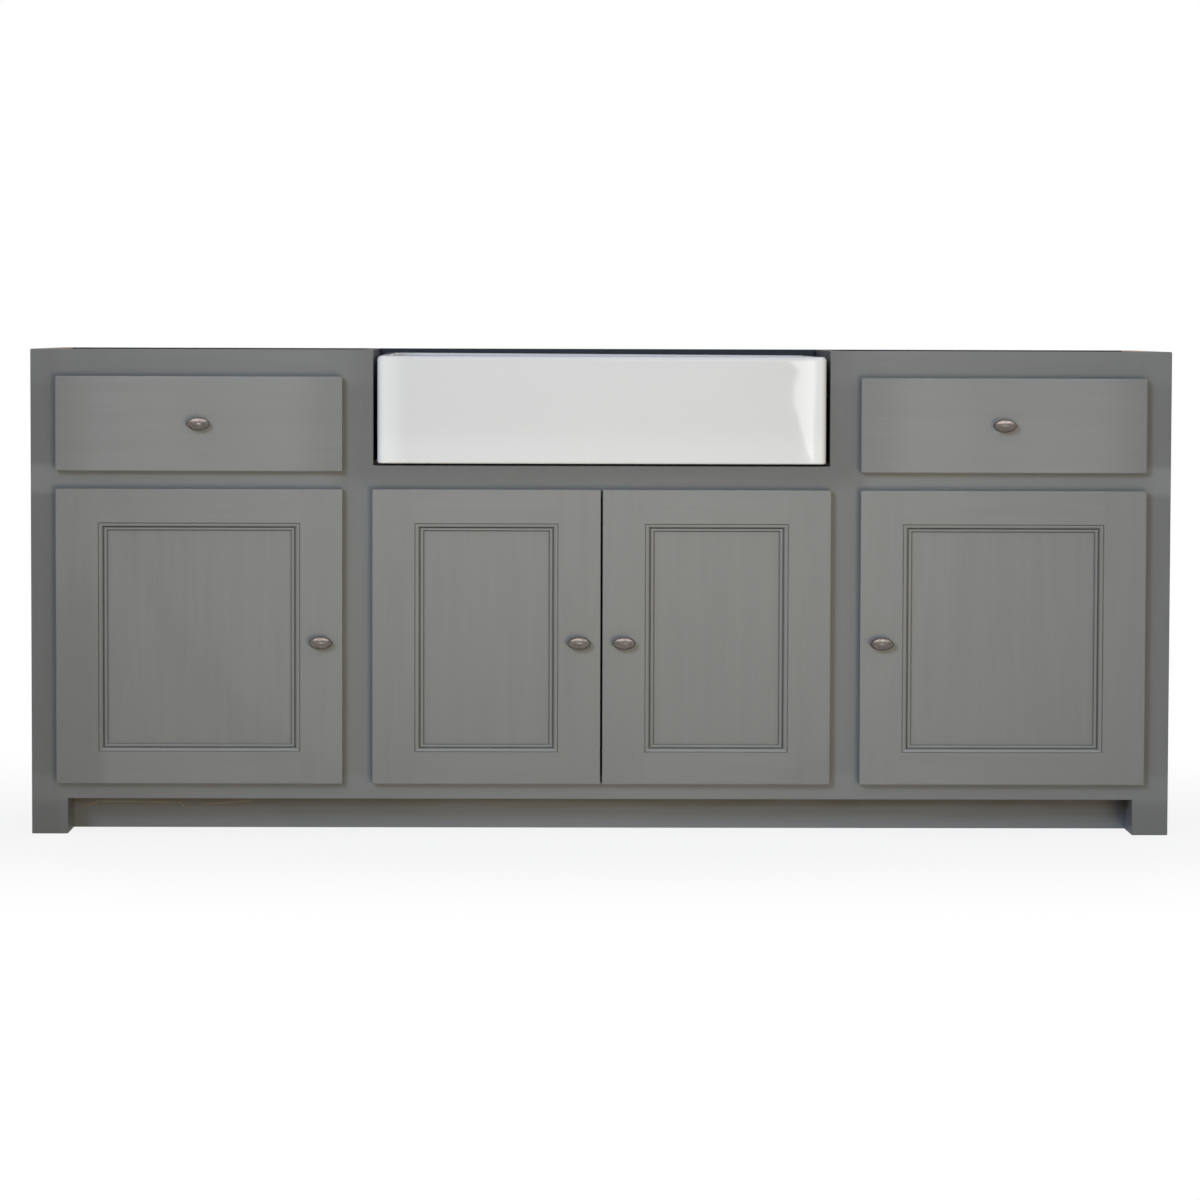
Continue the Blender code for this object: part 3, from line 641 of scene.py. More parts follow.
DOOR_STILE_PAINT = DoorPaint("door paint upright", DOOR_COLOUR, Grain.Z)
DOOR_FRAME_PAINTS = (
    DOOR_STILE_PAINT,
    DoorPaint("door paint level", (0.203, 0.199, 0.188), Grain.X),
    # painted shade in the moulding's slots, darkest in the upper rail and lightest in the lower, by how the
    # light falls
    DoorPaint("door paint in the upper quirks", (0.054, 0.054, 0.051), Grain.X),
    DoorPaint("door paint in the side quirks", (0.135, 0.132, 0.122), Grain.Z),
    DoorPaint("door paint in the lower quirks", (0.170, 0.171, 0.174), Grain.X),
    # a painted highlight on the lower rail's upward-facing rounds
    DoorPaint("door paint with dust", (0.245, 0.244, 0.242), Grain.X),
)
DRAWER_PAINT = DrawerPaint("drawer paint", (0.217, 0.213, 0.203), Grain.X, dark=DRAWER_MARKS)
STILE_PAINT = FramePaint("frame paint upright", FRAME_COLOUR, Grain.Z, RAIL_MARKS)
RAIL_PAINT = FramePaint("frame paint level", FRAME_COLOUR, Grain.X, RAIL_MARKS)
# the kickboard's grey is set lighter than the frame's, as painted light in its shaded recess
KICK_PAINT = KickboardPaint("kickboard paint", (0.178, 0.182, 0.192), Grain.X, KICK_MARKS, scuffs=KICK_SCUFFS)
PINE = {grain: Pine(f"pine along {grain.name}", grain) for grain in Grain}
PINE_END = {grain: PineEnd(f"pine end grain across {grain.name}", grain) for grain in Grain}
PINE_ACROSS = (PINE[Grain.X], PINE_END[Grain.X])
SLATE = SlatePaint()
GLAZE = Fireclay()
PEWTER = AgedPewter()
NICKEL = NickelSteel()
BUFFER = SoftBuffer()


@dataclass
class Shell:
    """A surface in arrays.

    Attributes:
        points: Points, (n, 3).
        faces: Groups of faces with equal corner counts, each (m, k).
        tags: The finish number of each face, in the same groups.
        arris: How far each point is on a worn edge, from 0 to 1.
    """

    points: Array
    faces: list[Array]
    tags: list[Array]
    arris: Array

    def outward(self) -> "Shell":
        """Turn the faces over if they enclose a negative volume, the sum of their corner tetrahedra."""
        volume = 0.0
        for group in self.faces:
            corners = self.points[group]
            first = np.broadcast_to(corners[:, :1], corners[:, 2:].shape)
            volume += np.einsum("mki,mki->", first, np.cross(corners[:, 1:-1], corners[:, 2:]))
        if volume < 0:
            self.faces = [group[:, ::-1] for group in self.faces]
        return self

    def tagged(self, tag: int, axis: int | None = None, sign: int = 0, least: float = 0.7) -> "Shell":
        """Give some faces another finish.

        Args:
            tag: The finish number.
            axis: The axis that the faces look along; without one, every face is meant.
            sign: Which way they look along it, or 0 for both ways.
            least: The least part of their normals along it.

        Returns:
            The shell itself.
        """
        for group, tags in zip(self.faces, self.tags):
            corners = self.points[group]
            normals = np.cross(corners, np.roll(corners, -1, axis=1)).sum(axis=1)
            normals /= np.maximum(np.linalg.norm(normals, axis=1, keepdims=True), 1e-12)
            along = np.ones(len(group)) if axis is None else normals[:, axis]
            tags[(along * sign if sign else np.abs(along)) > least] = tag
        return self

    def set(self, turn: Array, place: Sequence[float]) -> "Shell":
        """A copy that is turned by a matrix and then moved, with its faces still outward."""
        points = self.points @ np.asarray(turn, float).T + np.asarray(place, float)
        step = -1 if np.linalg.det(turn) < 0 else 1
        faces = [group[:, ::step].copy() for group in self.faces]
        return Shell(points, faces, [tags.copy() for tags in self.tags], self.arris)


def join(shells: Sequence[Shell]) -> Shell:
    """Put several shells into one.

    Args:
        shells: The shells.

    Returns:
        One shell with all their points and faces.
    """
    starts = np.cumsum([0] + [len(shell.points) for shell in shells[:-1]])
    faces = [group + start for shell, start in zip(shells, starts) for group in shell.faces]
    tags = [group for shell in shells for group in shell.tags]
    points = np.concatenate([shell.points for shell in shells])
    return Shell(points, faces, tags, np.concatenate([shell.arris for shell in shells]))


def quarter(steps: int) -> tuple[Array, Array]:
    """A quarter circle's way in, 1 - sin t, and its way up, 1 - cos t, with t from 0 to a right angle."""
    turn = np.linspace(0, math.pi / 2, steps + 1)
    return 1 - np.sin(turn), 1 - np.cos(turn)


def polar(angle: Array) -> Array:
    """Points of the unit circle at some angles, (n, 2)."""
    return np.stack([np.cos(angle), np.sin(angle)], axis=-1)


def circle(count: int) -> Array:
    """Points round the whole unit circle, (count, 2)."""
    return polar(np.arange(count) * math.tau / count)


def raised(flat: Array, height: Array | float) -> Array:
    """Points in a plane, (..., 2), with their heights as a third coordinate."""
    return np.concatenate([flat, np.broadcast_to(height, flat.shape[:-1])[..., None]], axis=-1)


def standing(x: Sequence[Array], y: Array, z: Sequence[Array]) -> Array:
    """Loops in upright planes at y, (r, n, 3), from n arrays of their points' x and z, each (r,)."""
    return np.stack([np.stack(x), np.tile(y, (len(x), 1)), np.stack(z)], axis=-1).swapaxes(0, 1)


def lattice(rows: int, columns: int, rows_meet: bool = False) -> Array:
    """Quads of a grid whose last column joins its first: (i, j), (i, j + 1), (i + 1, j + 1), (i + 1, j).

    Args:
        rows: Points along the first parameter.
        columns: Points along the second.
        rows_meet: Whether the last row joins the first too.

    Returns:
        Point numbers, (m, 4).
    """
    row, column = np.meshgrid(np.arange(rows - (not rows_meet)), np.arange(columns), indexing="ij")
    this, after = row * columns, (row + 1) % rows * columns
    beside = (column + 1) % columns
    return np.stack([this + column, this + beside, after + beside, after + column], axis=-1).reshape(-1, 4)


def skin(rings: Array, meet: bool = False, end_tag: int = 0, arris: Array | None = None) -> Shell:
    """Skin a row of loops, which either meet in a ring or end in flat caps.

    Args:
        rings: Loops along a path, (r, n, 3).
        meet: Whether the last loop joins the first.
        end_tag: The finish number of the caps.
        arris: How worn each point is, (r, n).

    Returns:
        The closed shell, faces outward.
    """
    count, around = rings.shape[:2]
    faces = [lattice(count, around, meet)]
    tags = [np.zeros(len(faces[0]), int)]
    if not meet:
        faces.append(np.stack([np.arange(around)[::-1], (count - 1) * around + np.arange(around)]))
        tags.append(np.full(2, end_tag))
    worn = np.zeros(count * around) if arris is None else arris.reshape(-1)
    return Shell(rings.reshape(-1, 3), faces, tags, worn).outward()


def rounded_loops(half_a: Array, half_b: Array, radius: Array, steps: int,
                  fill: tuple[int, int] = (0, 0)) -> Array:
    """Rounded rectangles: four quarter circles of a radius about the inner corners, joined by straight sides.

    Args:
        half_a: Half widths, (r,).
        half_b: Half heights, (r,).
        radius: Corner radii, (r,).
        steps: Steps in each quarter circle.
        fill: Extra points on each straight side along a and along b.

    Returns:
        Loops, (r, n, 2).
    """
    half = np.stack(np.broadcast_arrays(half_a, half_b), axis=-1).astype(float)
    radius = np.broadcast_to(radius, half.shape[:1])[:, None]
    arcs = []
    for corner, sign in enumerate(np.array([(1, -1), (1, 1), (-1, 1), (-1, -1)])):
        angle = math.pi / 2 * (corner - 1 + np.linspace(0, 1, steps + 1))
        arcs.append((sign * (half - radius))[:, None] + radius[:, None] * polar(angle))
    parts = []
    for corner, arc in enumerate(arcs):
        extra = fill[1 - corner % 2]
        share = (np.arange(extra) + 1.0)[None, :, None] / (extra + 1)
        parts += [arc, arc[:, -1:] * (1 - share) + arcs[(corner + 1) % 4][:, :1] * share]
    return np.concatenate(parts, axis=1)


def board(low: Sequence[float], high: Sequence[float], grain: Grain, ease: float = EASE,
          end_tag: int = 0) -> Shell:
    """A planed board: a rounded rectangle carried along the grain, drawn in by a quarter circle at each end.

    Args:
        low: Lowest corner.
        high: Highest corner.
        grain: The axis along it.
        ease: Radius of its arrises.
        end_tag: The finish number of its two ends.

    Returns:
        The closed shell.
    """
    low, high = np.asarray(low, float), np.asarray(high, float)
    half, centre = (high - low) / 2, (high + low) / 2
    c, a, b = grain.value
    out, over = quarter(EASE_STEPS)
    inset, rise = np.concatenate([out, out[::-1]]) * ease, ease * over
    loops = rounded_loops(half[a] - inset, half[b] - inset, LONG_ARRIS * ease - inset, EASE_STEPS)
    rings = np.empty((*loops.shape[:2], 3))
    rings[..., a] = loops[..., 0] + centre[a]
    rings[..., b] = loops[..., 1] + centre[b]
    rings[..., c] = np.concatenate([rise - half[c], half[c] - rise[::-1]])[:, None] + centre[c]
    ends = np.concatenate([EASE_WEAR, EASE_WEAR[::-1]])
    return skin(rings, end_tag=end_tag, arris=np.maximum(ends[:, None], np.tile(EASE_WEAR, 4)))


def node_board(node: str, grain: Grain, ease: float = EASE, end_tag: int = 0) -> Shell:
    """A planed board in the place of a CAD node."""
    return board(*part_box(node), grain, ease, end_tag)


def prism(outline: Array, axis: int, low: float, high: float) -> Shell:
    """Carry an outline straight along an axis.

    Args:
        outline: Points in the other two axes, in their order, (n, 2).
        axis: 0, 1 or 2.
        low: Where it starts.
        high: Where it ends.

    Returns:
        The closed shell.
    """
    rings = np.empty((2, len(outline), 3))
    rings[..., [other for other in range(3) if other != axis]] = outline
    rings[..., axis] = np.array([[low], [high]])
    return skin(rings)


def turned(radius: Array, height: Array, count: int, oval: Array | None = None,
           point: Array | float = 1.0) -> Shell:
    """Carry a profile round the Z axis: (r cos t, r sin t, h), or (a cos t, b sin t |sin t|^(p - 1), h).

    Args:
        radius: Radii along the profile, or first half axes a of ovals.
        height: Heights along the profile.
        count: Points round the axis.
        oval: Second half axes b, where the sections are ovals.
        point: The power p along the profile, which is 1 for ellipses and more for ovals with pointed ends.

    Returns:
        The closed shell, capped at both ends.
    """
    cos, sin = circle(count).T
    power = np.broadcast_to(point, np.shape(radius))[:, None]
    up = np.outer(radius if oval is None else oval, sin) * np.abs(sin) ** (power - 1)
    return skin(raised(np.stack([np.outer(radius, cos), up], axis=-1), np.asarray(height)[:, None]))


def facing(normal: Sequence[float]) -> Array:
    """A turn that takes +Z to a normal along one of the axes, and keeps the shape right-handed."""
    third = np.asarray(normal, float)
    first = np.roll(np.abs(third), 1)
    return np.stack([first, np.cross(third, first), third], axis=1)


@dataclass(frozen=True)
class Screw:
    """A cross-head screw's head; its rings and its slot's half width and reach are shares of the radius."""

    radius: float
    rim: float = 0.0007
    bedded: float = 0.0003
    crown: float = 0.55
    slot_half: float = 0.13
    slot_reach: float = 0.61
    slot_depth: float = 0.0006
    rings: tuple[float, ...] = (1.0, 1.0, 0.92, 0.62, 0.60, 0.40, 0.20, 0.02)
    points: int = 24

    def head(self, place: Sequence[float], normal: Sequence[float]) -> Shell:
        """A low dome h (1 - c (r / R)^4), cut down where |x| or |y| is within the driver's slot.

        Args:
            place: The middle of the seat.
            normal: The way it faces.

        Returns:
            The closed shell.
        """
        rings = np.array(self.rings)
        flat = rings[:, None, None] * circle(self.points)
        height = np.broadcast_to((self.rim * (1 - self.crown * rings**4))[:, None], flat.shape[:2]).copy()
        near, far = np.abs(flat).min(axis=-1), np.abs(flat).max(axis=-1)
        height[(near < self.slot_half) & (far < self.slot_reach)] -= self.slot_depth
        height[0] = -self.bedded
        return skin(raised(flat * self.radius, height)).set(facing(normal), place)


def add_piece(name: str, shell: Shell, finishes: Sequence[Finish], body: str,
              stands_for: Sequence[str] = (), bores: Sequence[Shell] = (), bevel: float = 0.0,
              rounds: int = 0) -> None:
    """Make a piece from a shell and let it ride on a body.

    Args:
        name: The piece's name.
        shell: Its surface.
        finishes: Its finishes, by finish number.
        body: The body that carries it.
        stands_for: The CAD nodes that it replaces, where it isn't the one node of its own name.
        bores: Shells that are cut out of it.
        bevel: Radius of edges that are still to be eased.
        rounds: Levels of subdivision.
    """
    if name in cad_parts:
        stands_for = [name]
    mesh = mesh_of(name, shell)
    for finish in finishes:
        mesh.materials.append(material(finish))
    piece = bpy.data.objects.new(name, mesh)
    bpy.context.scene.collection.objects.link(piece)
    if bores:
        drill(piece, bores)
    piece.data.shade_smooth()
    piece.data.set_sharp_from_angle(angle=CREASE)
    if bevel:
        step = piece.modifiers.new("eased edges", "BEVEL")
        step.width, step.segments, step.limit_method = bevel, EASE_STEPS, "ANGLE"
        step.angle_limit = BEVEL_FROM
        step.harden_normals = True
    elif rounds:
        step = piece.modifiers.new("rounding", "SUBSURF")
        step.levels = step.render_levels = rounds
    else:
        piece.modifiers.new("even shading", "WEIGHTED_NORMAL").keep_sharp = True
    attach(piece, body)
    if stands_for:
        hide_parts(*stands_for)
    LOG.info("%s: %d faces on %s", name, len(piece.data.polygons), body)


def mesh_of(name: str, shell: Shell) -> bpy.types.Mesh:
    """Put a shell's arrays into a mesh.

    Args:
        name: The mesh's name.
        shell: The shell.

    Returns:
        The mesh.
    """
    mesh = bpy.data.meshes.new(name)
    sizes = np.concatenate([np.full(len(group), group.shape[1]) for group in shell.faces])
    corners = np.concatenate([group.reshape(-1) for group in shell.faces])
    mesh.vertices.add(len(shell.points))
    mesh.vertices.foreach_set("co", shell.points.astype(np.float32).reshape(-1))
    mesh.loops.add(len(corners))
    mesh.loops.foreach_set("vertex_index", corners.astype(np.int32))
    mesh.polygons.add(len(sizes))
    mesh.polygons.foreach_set("loop_start", (np.cumsum(sizes) - sizes).astype(np.int32))
    mesh.polygons.foreach_set("material_index", np.concatenate(shell.tags).astype(np.int32))
    mesh.update(calc_edges=True)
    if shell.arris.any():
        worn = mesh.attributes.new("arris", "FLOAT", "POINT")
        worn.data.foreach_set("value", shell.arris.astype(np.float32))
    mesh.validate()
    return mesh


def drill(piece: bpy.types.Object, bores: Sequence[Shell]) -> None:
    """Cut shells out of a piece for good.

    Args:
        piece: The piece.
        bores: The shells to cut away.
    """
    cutters = []
    for number, bore in enumerate(bores):
        cutter = bpy.data.objects.new(f"cutter_{number}", mesh_of("cutter", bore))
        bpy.context.scene.collection.objects.link(cutter)
        step = piece.modifiers.new(cutter.name, "BOOLEAN")
        step.operation, step.solver, step.object = "DIFFERENCE", "EXACT", cutter
        cutters.append(cutter)
    graph = bpy.context.evaluated_depsgraph_get()
    cut = piece.evaluated_get(graph)
    cut = bpy.data.meshes.new_from_object(cut, preserve_all_data_layers=True, depsgraph=graph)
    piece.modifiers.clear()
    piece.data = cut
    for cutter in cutters:
        bpy.data.objects.remove(cutter, do_unlink=True)


@dataclass
class FaceFrame:
    """The painted front frame, joined and painted over as one plate."""

    notch: float = 0.017
    sink_gap: float = 0.0035
    ease: float = 0.0016

    def members(self) -> list[tuple[float, float, float, float, int]]:
        """Stiles and rails as (low x, high x, low z, high z, finish), each meeting the next with no gap."""
        outer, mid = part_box("outer_stile_right"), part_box("mid_stile_right")
        top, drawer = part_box("top_rail_right"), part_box("drawer_rail_right")
        sink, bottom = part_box("sink_rail"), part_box("bottom_rail")
        opening, seat = mid[0].x + self.notch, sink[1].z - self.sink_gap
        right = [
            (outer[0].x, outer[1].x, 0.0, outer[1].z, 0),
            (mid[0].x, mid[1].x, bottom[1].z, seat, 0),
            (opening, mid[1].x, seat, mid[1].z, 0),
            (mid[1].x, outer[0].x, top[0].z, top[1].z, 1),
            (mid[1].x, outer[0].x, drawer[0].z, drawer[1].z, 1),
        ]
        middle = [
            (-mid[0].x, mid[0].x, sink[0].z, seat, 1),
            (-outer[0].x, outer[0].x, bottom[0].z, bottom[1].z, 1),
        ]
        return right + [(-high, -low, *rest) for low, high, *rest in right] + middle

    def plate(self) -> Shell:
        """Fill a grid of cells where a member covers them, with walls where a full cell meets an empty one.

        Returns:
            The closed plate.
        """
        members = np.array(self.members())
        xs, zs = (np.unique(np.round(members[:, columns], 5)) for columns in ((0, 1), (2, 3)))
        middle_x, middle_z = (xs[1:] + xs[:-1]) / 2, (zs[1:] + zs[:-1]) / 2
        covers = ((members[:, 0, None] < middle_x) & (middle_x < members[:, 1, None]))[:, :, None]
        covers = covers & ((members[:, 2, None] < middle_z) & (middle_z < members[:, 3, None]))[:, None, :]
        full = covers.any(axis=0)
        kind = (covers & (members[:, 4] > 0)[:, None, None]).any(axis=0).astype(int)
        low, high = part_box("outer_stile_right")
        x, z = np.meshgrid(xs, zs, indexing="ij")
        layer = x.size
        points = [np.stack([x, np.full_like(x, y), z], axis=-1) for y in (low.y, high.y)]
        points = np.concatenate(points).reshape(-1, 3)
        number = np.arange(layer).reshape(x.shape)
        i, j = np.nonzero(full)
        front = np.stack([number[i, j], number[i + 1, j], number[i + 1, j + 1], number[i, j + 1]], axis=-1)
        faces, tags = [front, front[:, ::-1] + layer], [kind[i, j], kind[i, j]]
        edge, edge_kind = np.pad(full, 1), np.pad(kind, 1)
        for step, along in (((1, 0), (0, 1)), ((0, 1), (1, 0))):
            here = np.s_[1 - step[0]:-1, 1 - step[1]:-1]
            there = np.s_[1:edge.shape[0] - 1 + step[0], 1:edge.shape[1] - 1 + step[1]]
            before, after = edge[here], edge[there]
            kinds = edge_kind[here] | edge_kind[there]
            for wall, flip in ((before & ~after, step[0] == 0), (after & ~before, step[0] == 1)):
                i, j = np.nonzero(wall)
                start, end = number[i, j], number[i + along[0], j + along[1]]
                quad = np.stack([start, start + layer, end + layer, end], axis=-1)
                faces.append(quad[:, ::-1] if flip else quad)
                tags.append(kinds[i, j])
        used, again = np.unique(np.concatenate(faces), return_inverse=True)
        whole = again.reshape(-1, 4)
        return Shell(points[used], [whole], [np.concatenate(tags)], np.zeros(len(used))).outward()

    def build(self) -> None:
        """Make the plate in the place of its stiles and rails."""
        nodes = [f"{member}_{side.word}" for side in Side
                 for member in ("outer_stile", "mid_stile", "top_rail", "drawer_rail")]
        add_piece("face_frame", self.plate(), (STILE_PAINT, RAIL_PAINT), CARCASS,
                  nodes + ["sink_rail", "bottom_rail"], bevel=self.ease)


@dataclass
class Carcass:
    """Sides, partitions, base, back, boards under the drawers, kickboard and foot blocks."""

    guide_height: float = 0.028
    guide_width: float = 0.015
    drawer_gap: float = 0.0005
    hole_radius: float = 0.065
    hole_points: int = 64
    kick_thickness: float = 0.018
    back_screw: Screw = Screw(0.0044)
    back_screw_pitch: float = 0.22
    back_screw_rows: int = 5
    back_screw_inset: float = 0.012
    back_screw_proud: float = 0.0012

    def sides(self) -> None:
        """Side panels, painted outside, partitions, dark slate towards the sink as painted shade in the gaps
        beside it, and foot blocks.
        """
        for side in Side:
            inward = -side.value
            node = f"side_panel_{side.word}"
            panel = node_board(node, Grain.Z).tagged(1, 0, inward)
            add_piece(node, panel, (STILE_PAINT, PINE[Grain.Z]), CARCASS)
            node = f"partition_{side.word}"
            # the face and ends towards the sink in dark slate: painted shade for the gaps beside the sink
            partition = node_board(node, Grain.Z, end_tag=1).tagged(1, 0, inward)
            add_piece(node, partition, (PINE[Grain.Z], SLATE), CARCASS)
            node = f"foot_block_{side.word}"
            add_piece(node, node_board(node, Grain.Z), (STILE_PAINT,), CARCASS)

    def boards(self) -> None:
        """The base, the back with its screws, and the rail behind the sink."""
        base = node_board("base_panel", Grain.X, end_tag=1)
        add_piece("base_panel", base, PINE_ACROSS, CARCASS)
        add_piece("back_rail", node_board("back_rail", Grain.X), (SLATE,), CARCASS)
        low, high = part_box("back_panel")
        seat = high.y - self.back_screw_proud
        add_piece("back_panel", board(low, (high.x, seat, high.z), Grain.X), (SLATE,), CARCASS)
        left, right = low.x + self.back_screw_inset, high.x - self.back_screw_inset
        foot, top = low.z + self.back_screw_inset, high.z - self.back_screw_inset
        count = round((high.x - low.x) / self.back_screw_pitch)
        spots = [(x, z) for x in np.linspace(left, right, count) for z in (foot, top)]
        spots += [(x, z) for x in (left, right) for z in np.linspace(foot, top, self.back_screw_rows)[1:-1]]
        heads = [self.back_screw.head((x, seat, z), (0, 1, 0)) for x, z in spots]
        add_piece("back_panel_screws", join(heads), (NICKEL,), CARCASS)

    def sink_shelf(self) -> None:
        """The board under the sink, with a round hole for the waste and its front edge in dark slate, painted
        shade in the gap below the sink.
        """
        low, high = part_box("sink_shelf")
        sink_low, sink_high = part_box("sink")
        middle = ((sink_low.x + sink_high.x) / 2, (sink_low.y + sink_high.y) / 2, low.z - OVERCUT)
        reach = np.array([0.0, high.z - low.z + 2 * OVERCUT])
        bore = turned(np.full(2, self.hole_radius), reach, self.hole_points).set(np.eye(3), middle)
        # the front edge in dark slate: painted shade for the gap under the sink
        shelf = node_board("sink_shelf", Grain.X, end_tag=1).tagged(2, 1, -1)
        add_piece("sink_shelf", shelf, (*PINE_ACROSS, SLATE), CARCASS, bores=[bore])

    def drawer_boards(self) -> None:
        """The boards that the drawers slide on, each with two waxed guide strips."""
        for side in Side:
            node = f"drawer_board_{side.word}"
            low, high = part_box(node)
            top = high.z - self.guide_height
            shells = [board(low, (high.x, high.y, top), Grain.X, end_tag=1)]
            box_low, box_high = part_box(f"{side.word}_drawer_box")
            inner, outer = box_low.x - self.drawer_gap, box_high.x + self.drawer_gap
            for near, far in ((inner - self.guide_width, inner), (outer, outer + self.guide_width)):
                strip = board((near, low.y, top - EASE), (far, high.y, high.z), Grain.Y)
                shells.append(strip.tagged(2))
            add_piece(node, join(shells), (*PINE_ACROSS, PINE[Grain.Y]), CARCASS)

    def kickboard(self) -> None:
        """The recessed kickboard with a return behind each foot."""
        low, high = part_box("kickboard")
        front, outer = high.y - self.kick_thickness, high.x
        inner = outer - self.kick_thickness
        outline = np.array([(-outer, low.y), (-inner, low.y), (-inner, front), (inner, front),
                            (inner, low.y), (outer, low.y), (outer, high.y), (-outer, high.y)])
        shell = prism(outline, 2, low.z, high.z)
        add_piece("kickboard", shell, (KICK_PAINT,), CARCASS, bevel=EASE)

    def build(self) -> None:
        """Make every board."""
        self.sides()
        self.boards()
        self.sink_shelf()
        self.drawer_boards()
        self.kickboard()


@dataclass
class Sink:
    """The glazed farmhouse sink."""

    wall: float = 0.024
    floor: float = 0.028
    edge: float = 0.007
    foot_edge: float = 0.004
    corner: float = 0.012
    bowl_corner: float = 0.045
    bowl_round: float = 0.030
    taper: float = 0.004
    fall: float = 0.003
    waste: float = 0.045
    waste_lip: float = 0.006
    warp: float = 0.0035
    wobble: float = 0.00018
    pillow: float = 0.0035
    steps: int = 8
    side_points: tuple[int, int] = (44, 24)

    def rings(self, width: float, depth: float, height: float) -> Array:
        """Loops from the waste under the sink, over the rim and down the bowl to the waste again.

        Each loop is a rounded rectangle drawn in by an inset at a height; the floor blends from the last
        of them to the waste's circle. The glaze wobbles by a sum of sines, the front
        falls back at its ends by a high power of x, and the rim has warped in firing.

        Args:
            width: The sink's width.
            depth: Its depth.
            height: Its height.

        Returns:
            The loops about the middle of the underside, (r, n, 3).
        """
        out, over = quarter(self.steps)
        wall = np.linspace(self.foot_edge, height - self.edge, 12)[1:-1]
        slope = np.linspace(0, 1, 8)[1:-1]
        bowl_top, bowl_foot = height - self.edge, self.floor + self.bowl_round
        insets = [self.foot_edge * out, 0 * wall, self.edge * over, self.wall - self.edge * out,
                  self.wall + self.taper * slope, self.wall + self.taper + self.bowl_round * over]
        heights = [self.foot_edge * over, wall, height - self.edge * out, height - self.edge * over,
                   bowl_top + (bowl_foot - bowl_top) * slope, self.floor + self.bowl_round * out]
        inside = sum(len(part) for part in insets[:3])
        inset, rise = np.concatenate(insets), np.concatenate(heights)
        corner = np.where(np.arange(len(inset)) < inside, self.corner, self.bowl_corner + self.wall)
        loops = rounded_loops(width / 2 - inset, depth / 2 - inset, corner - inset, self.steps,
                              self.side_points)
        walls = raised(loops, rise[:, None])

        ring = polar(np.arctan2(loops[-1, :, 1], loops[-1, :, 0]))
        share = slope[:, None, None]
        floor = loops[-1] * (1 - share) + (self.waste + self.waste_lip) * ring * share
        floor = raised(floor, self.floor - self.fall * share[..., 0])
        around = self.waste + self.waste_lip * out
        drop = self.floor - self.fall - self.waste_lip * over
        hole = raised(around[:, None, None] * ring, drop[:, None])
        under = raised(self.waste * ring, 0.0)[None]
        rings = np.concatenate([under, walls, floor, hole])

        x, y, z = (rings[..., axis].copy() for axis in range(3))
        rings[..., 1] += self.wobble * (np.sin(8.1 * x + 23 * z + 1.3) + 0.7 * np.sin(19.7 * x - 31 * z))
        rings[..., 1] += self.pillow * (2 * np.abs(x) / width) ** 12 * np.clip(-2 * y / depth, 0, 1) ** 3
        rings[..., 2] += self.warp * (0.5 - x / width) * (0.5 + y / depth) * (z / height) ** 2
        return rings

    def build(self) -> None:
        """Make the sink in its node's place."""
        low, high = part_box("sink")
        rings = self.rings(high.x - low.x, high.y - low.y, high.z - low.z)
        rings += ((low.x + high.x) / 2, (low.y + high.y) / 2, low.z)
        add_piece("sink", skin(rings, meet=True), (GLAZE,), CARCASS)


@dataclass
class Knob:
    """A cast oval knob on a round foot; the tip is a share of the rim."""

    foot: float = 0.0080
    foot_height: float = 0.0016
    neck: float = 0.0056
    neck_height: float = 0.0055
    rim_height: float = 0.0140
    rim_edge: float = 0.0004
    point: float = 1.10
    tip: float = 0.03
    points: int = 48

    def build(self, node: str, body: str) -> None:
        """Make a knob in a node's place.

        The foot runs into the neck by half a cosine wave, the flare leaves the neck as a quarter ellipse out
        to the rim, and the dome is a quarter ellipse from the rim to the tip. Its sections have pointed ends
        at the rim and turn round towards the foot and the tip.

        Args:
            node: The CAD node.
            body: The body that carries it.
        """
        low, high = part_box(node)
        half_x, half_z = (high.x - low.x) / 2, (high.z - low.z) / 2
        turn = np.linspace(0, math.pi / 2, 13)
        share = np.linspace(0, 1, 7)
        waist = self.neck + (self.foot - self.neck) * (1 + np.cos(math.pi * share)) / 2
        waist_height = self.foot_height + (self.neck_height - self.foot_height) * share
        flare = 1 - np.cos(turn[1:-1])
        flare_height = self.neck_height + (self.rim_height - self.neck_height) * np.sin(turn[1:-1])
        dome = np.append(np.cos(turn[:-1]), self.tip)
        rise = high.y - low.y - self.rim_height - self.rim_edge
        dome_height = self.rim_height + self.rim_edge + rise * np.append(np.sin(turn[:-1]), 1.0)
        height = np.concatenate([[0.0], waist_height, flare_height, dome_height])

        def half(rim: float) -> Array:
            """Half axes along the profile for one half axis at the rim."""
            return np.concatenate([[self.foot], waist, self.neck + (rim - self.neck) * flare, rim * dome])

        lens = np.concatenate([[0.0], 0 * waist, flare, dome ** 4])
        shell = turned(half(half_x), height, self.points, half(half_z), 1 + (self.point - 1) * lens)
        turn_out = np.array([[1, 0, 0], [0, 0, -1], [0, 1, 0]], float)
        shell = shell.set(turn_out, ((low.x + high.x) / 2, high.y, (low.z + high.z) / 2))
        add_piece(node, shell, (PEWTER,), body, rounds=1)


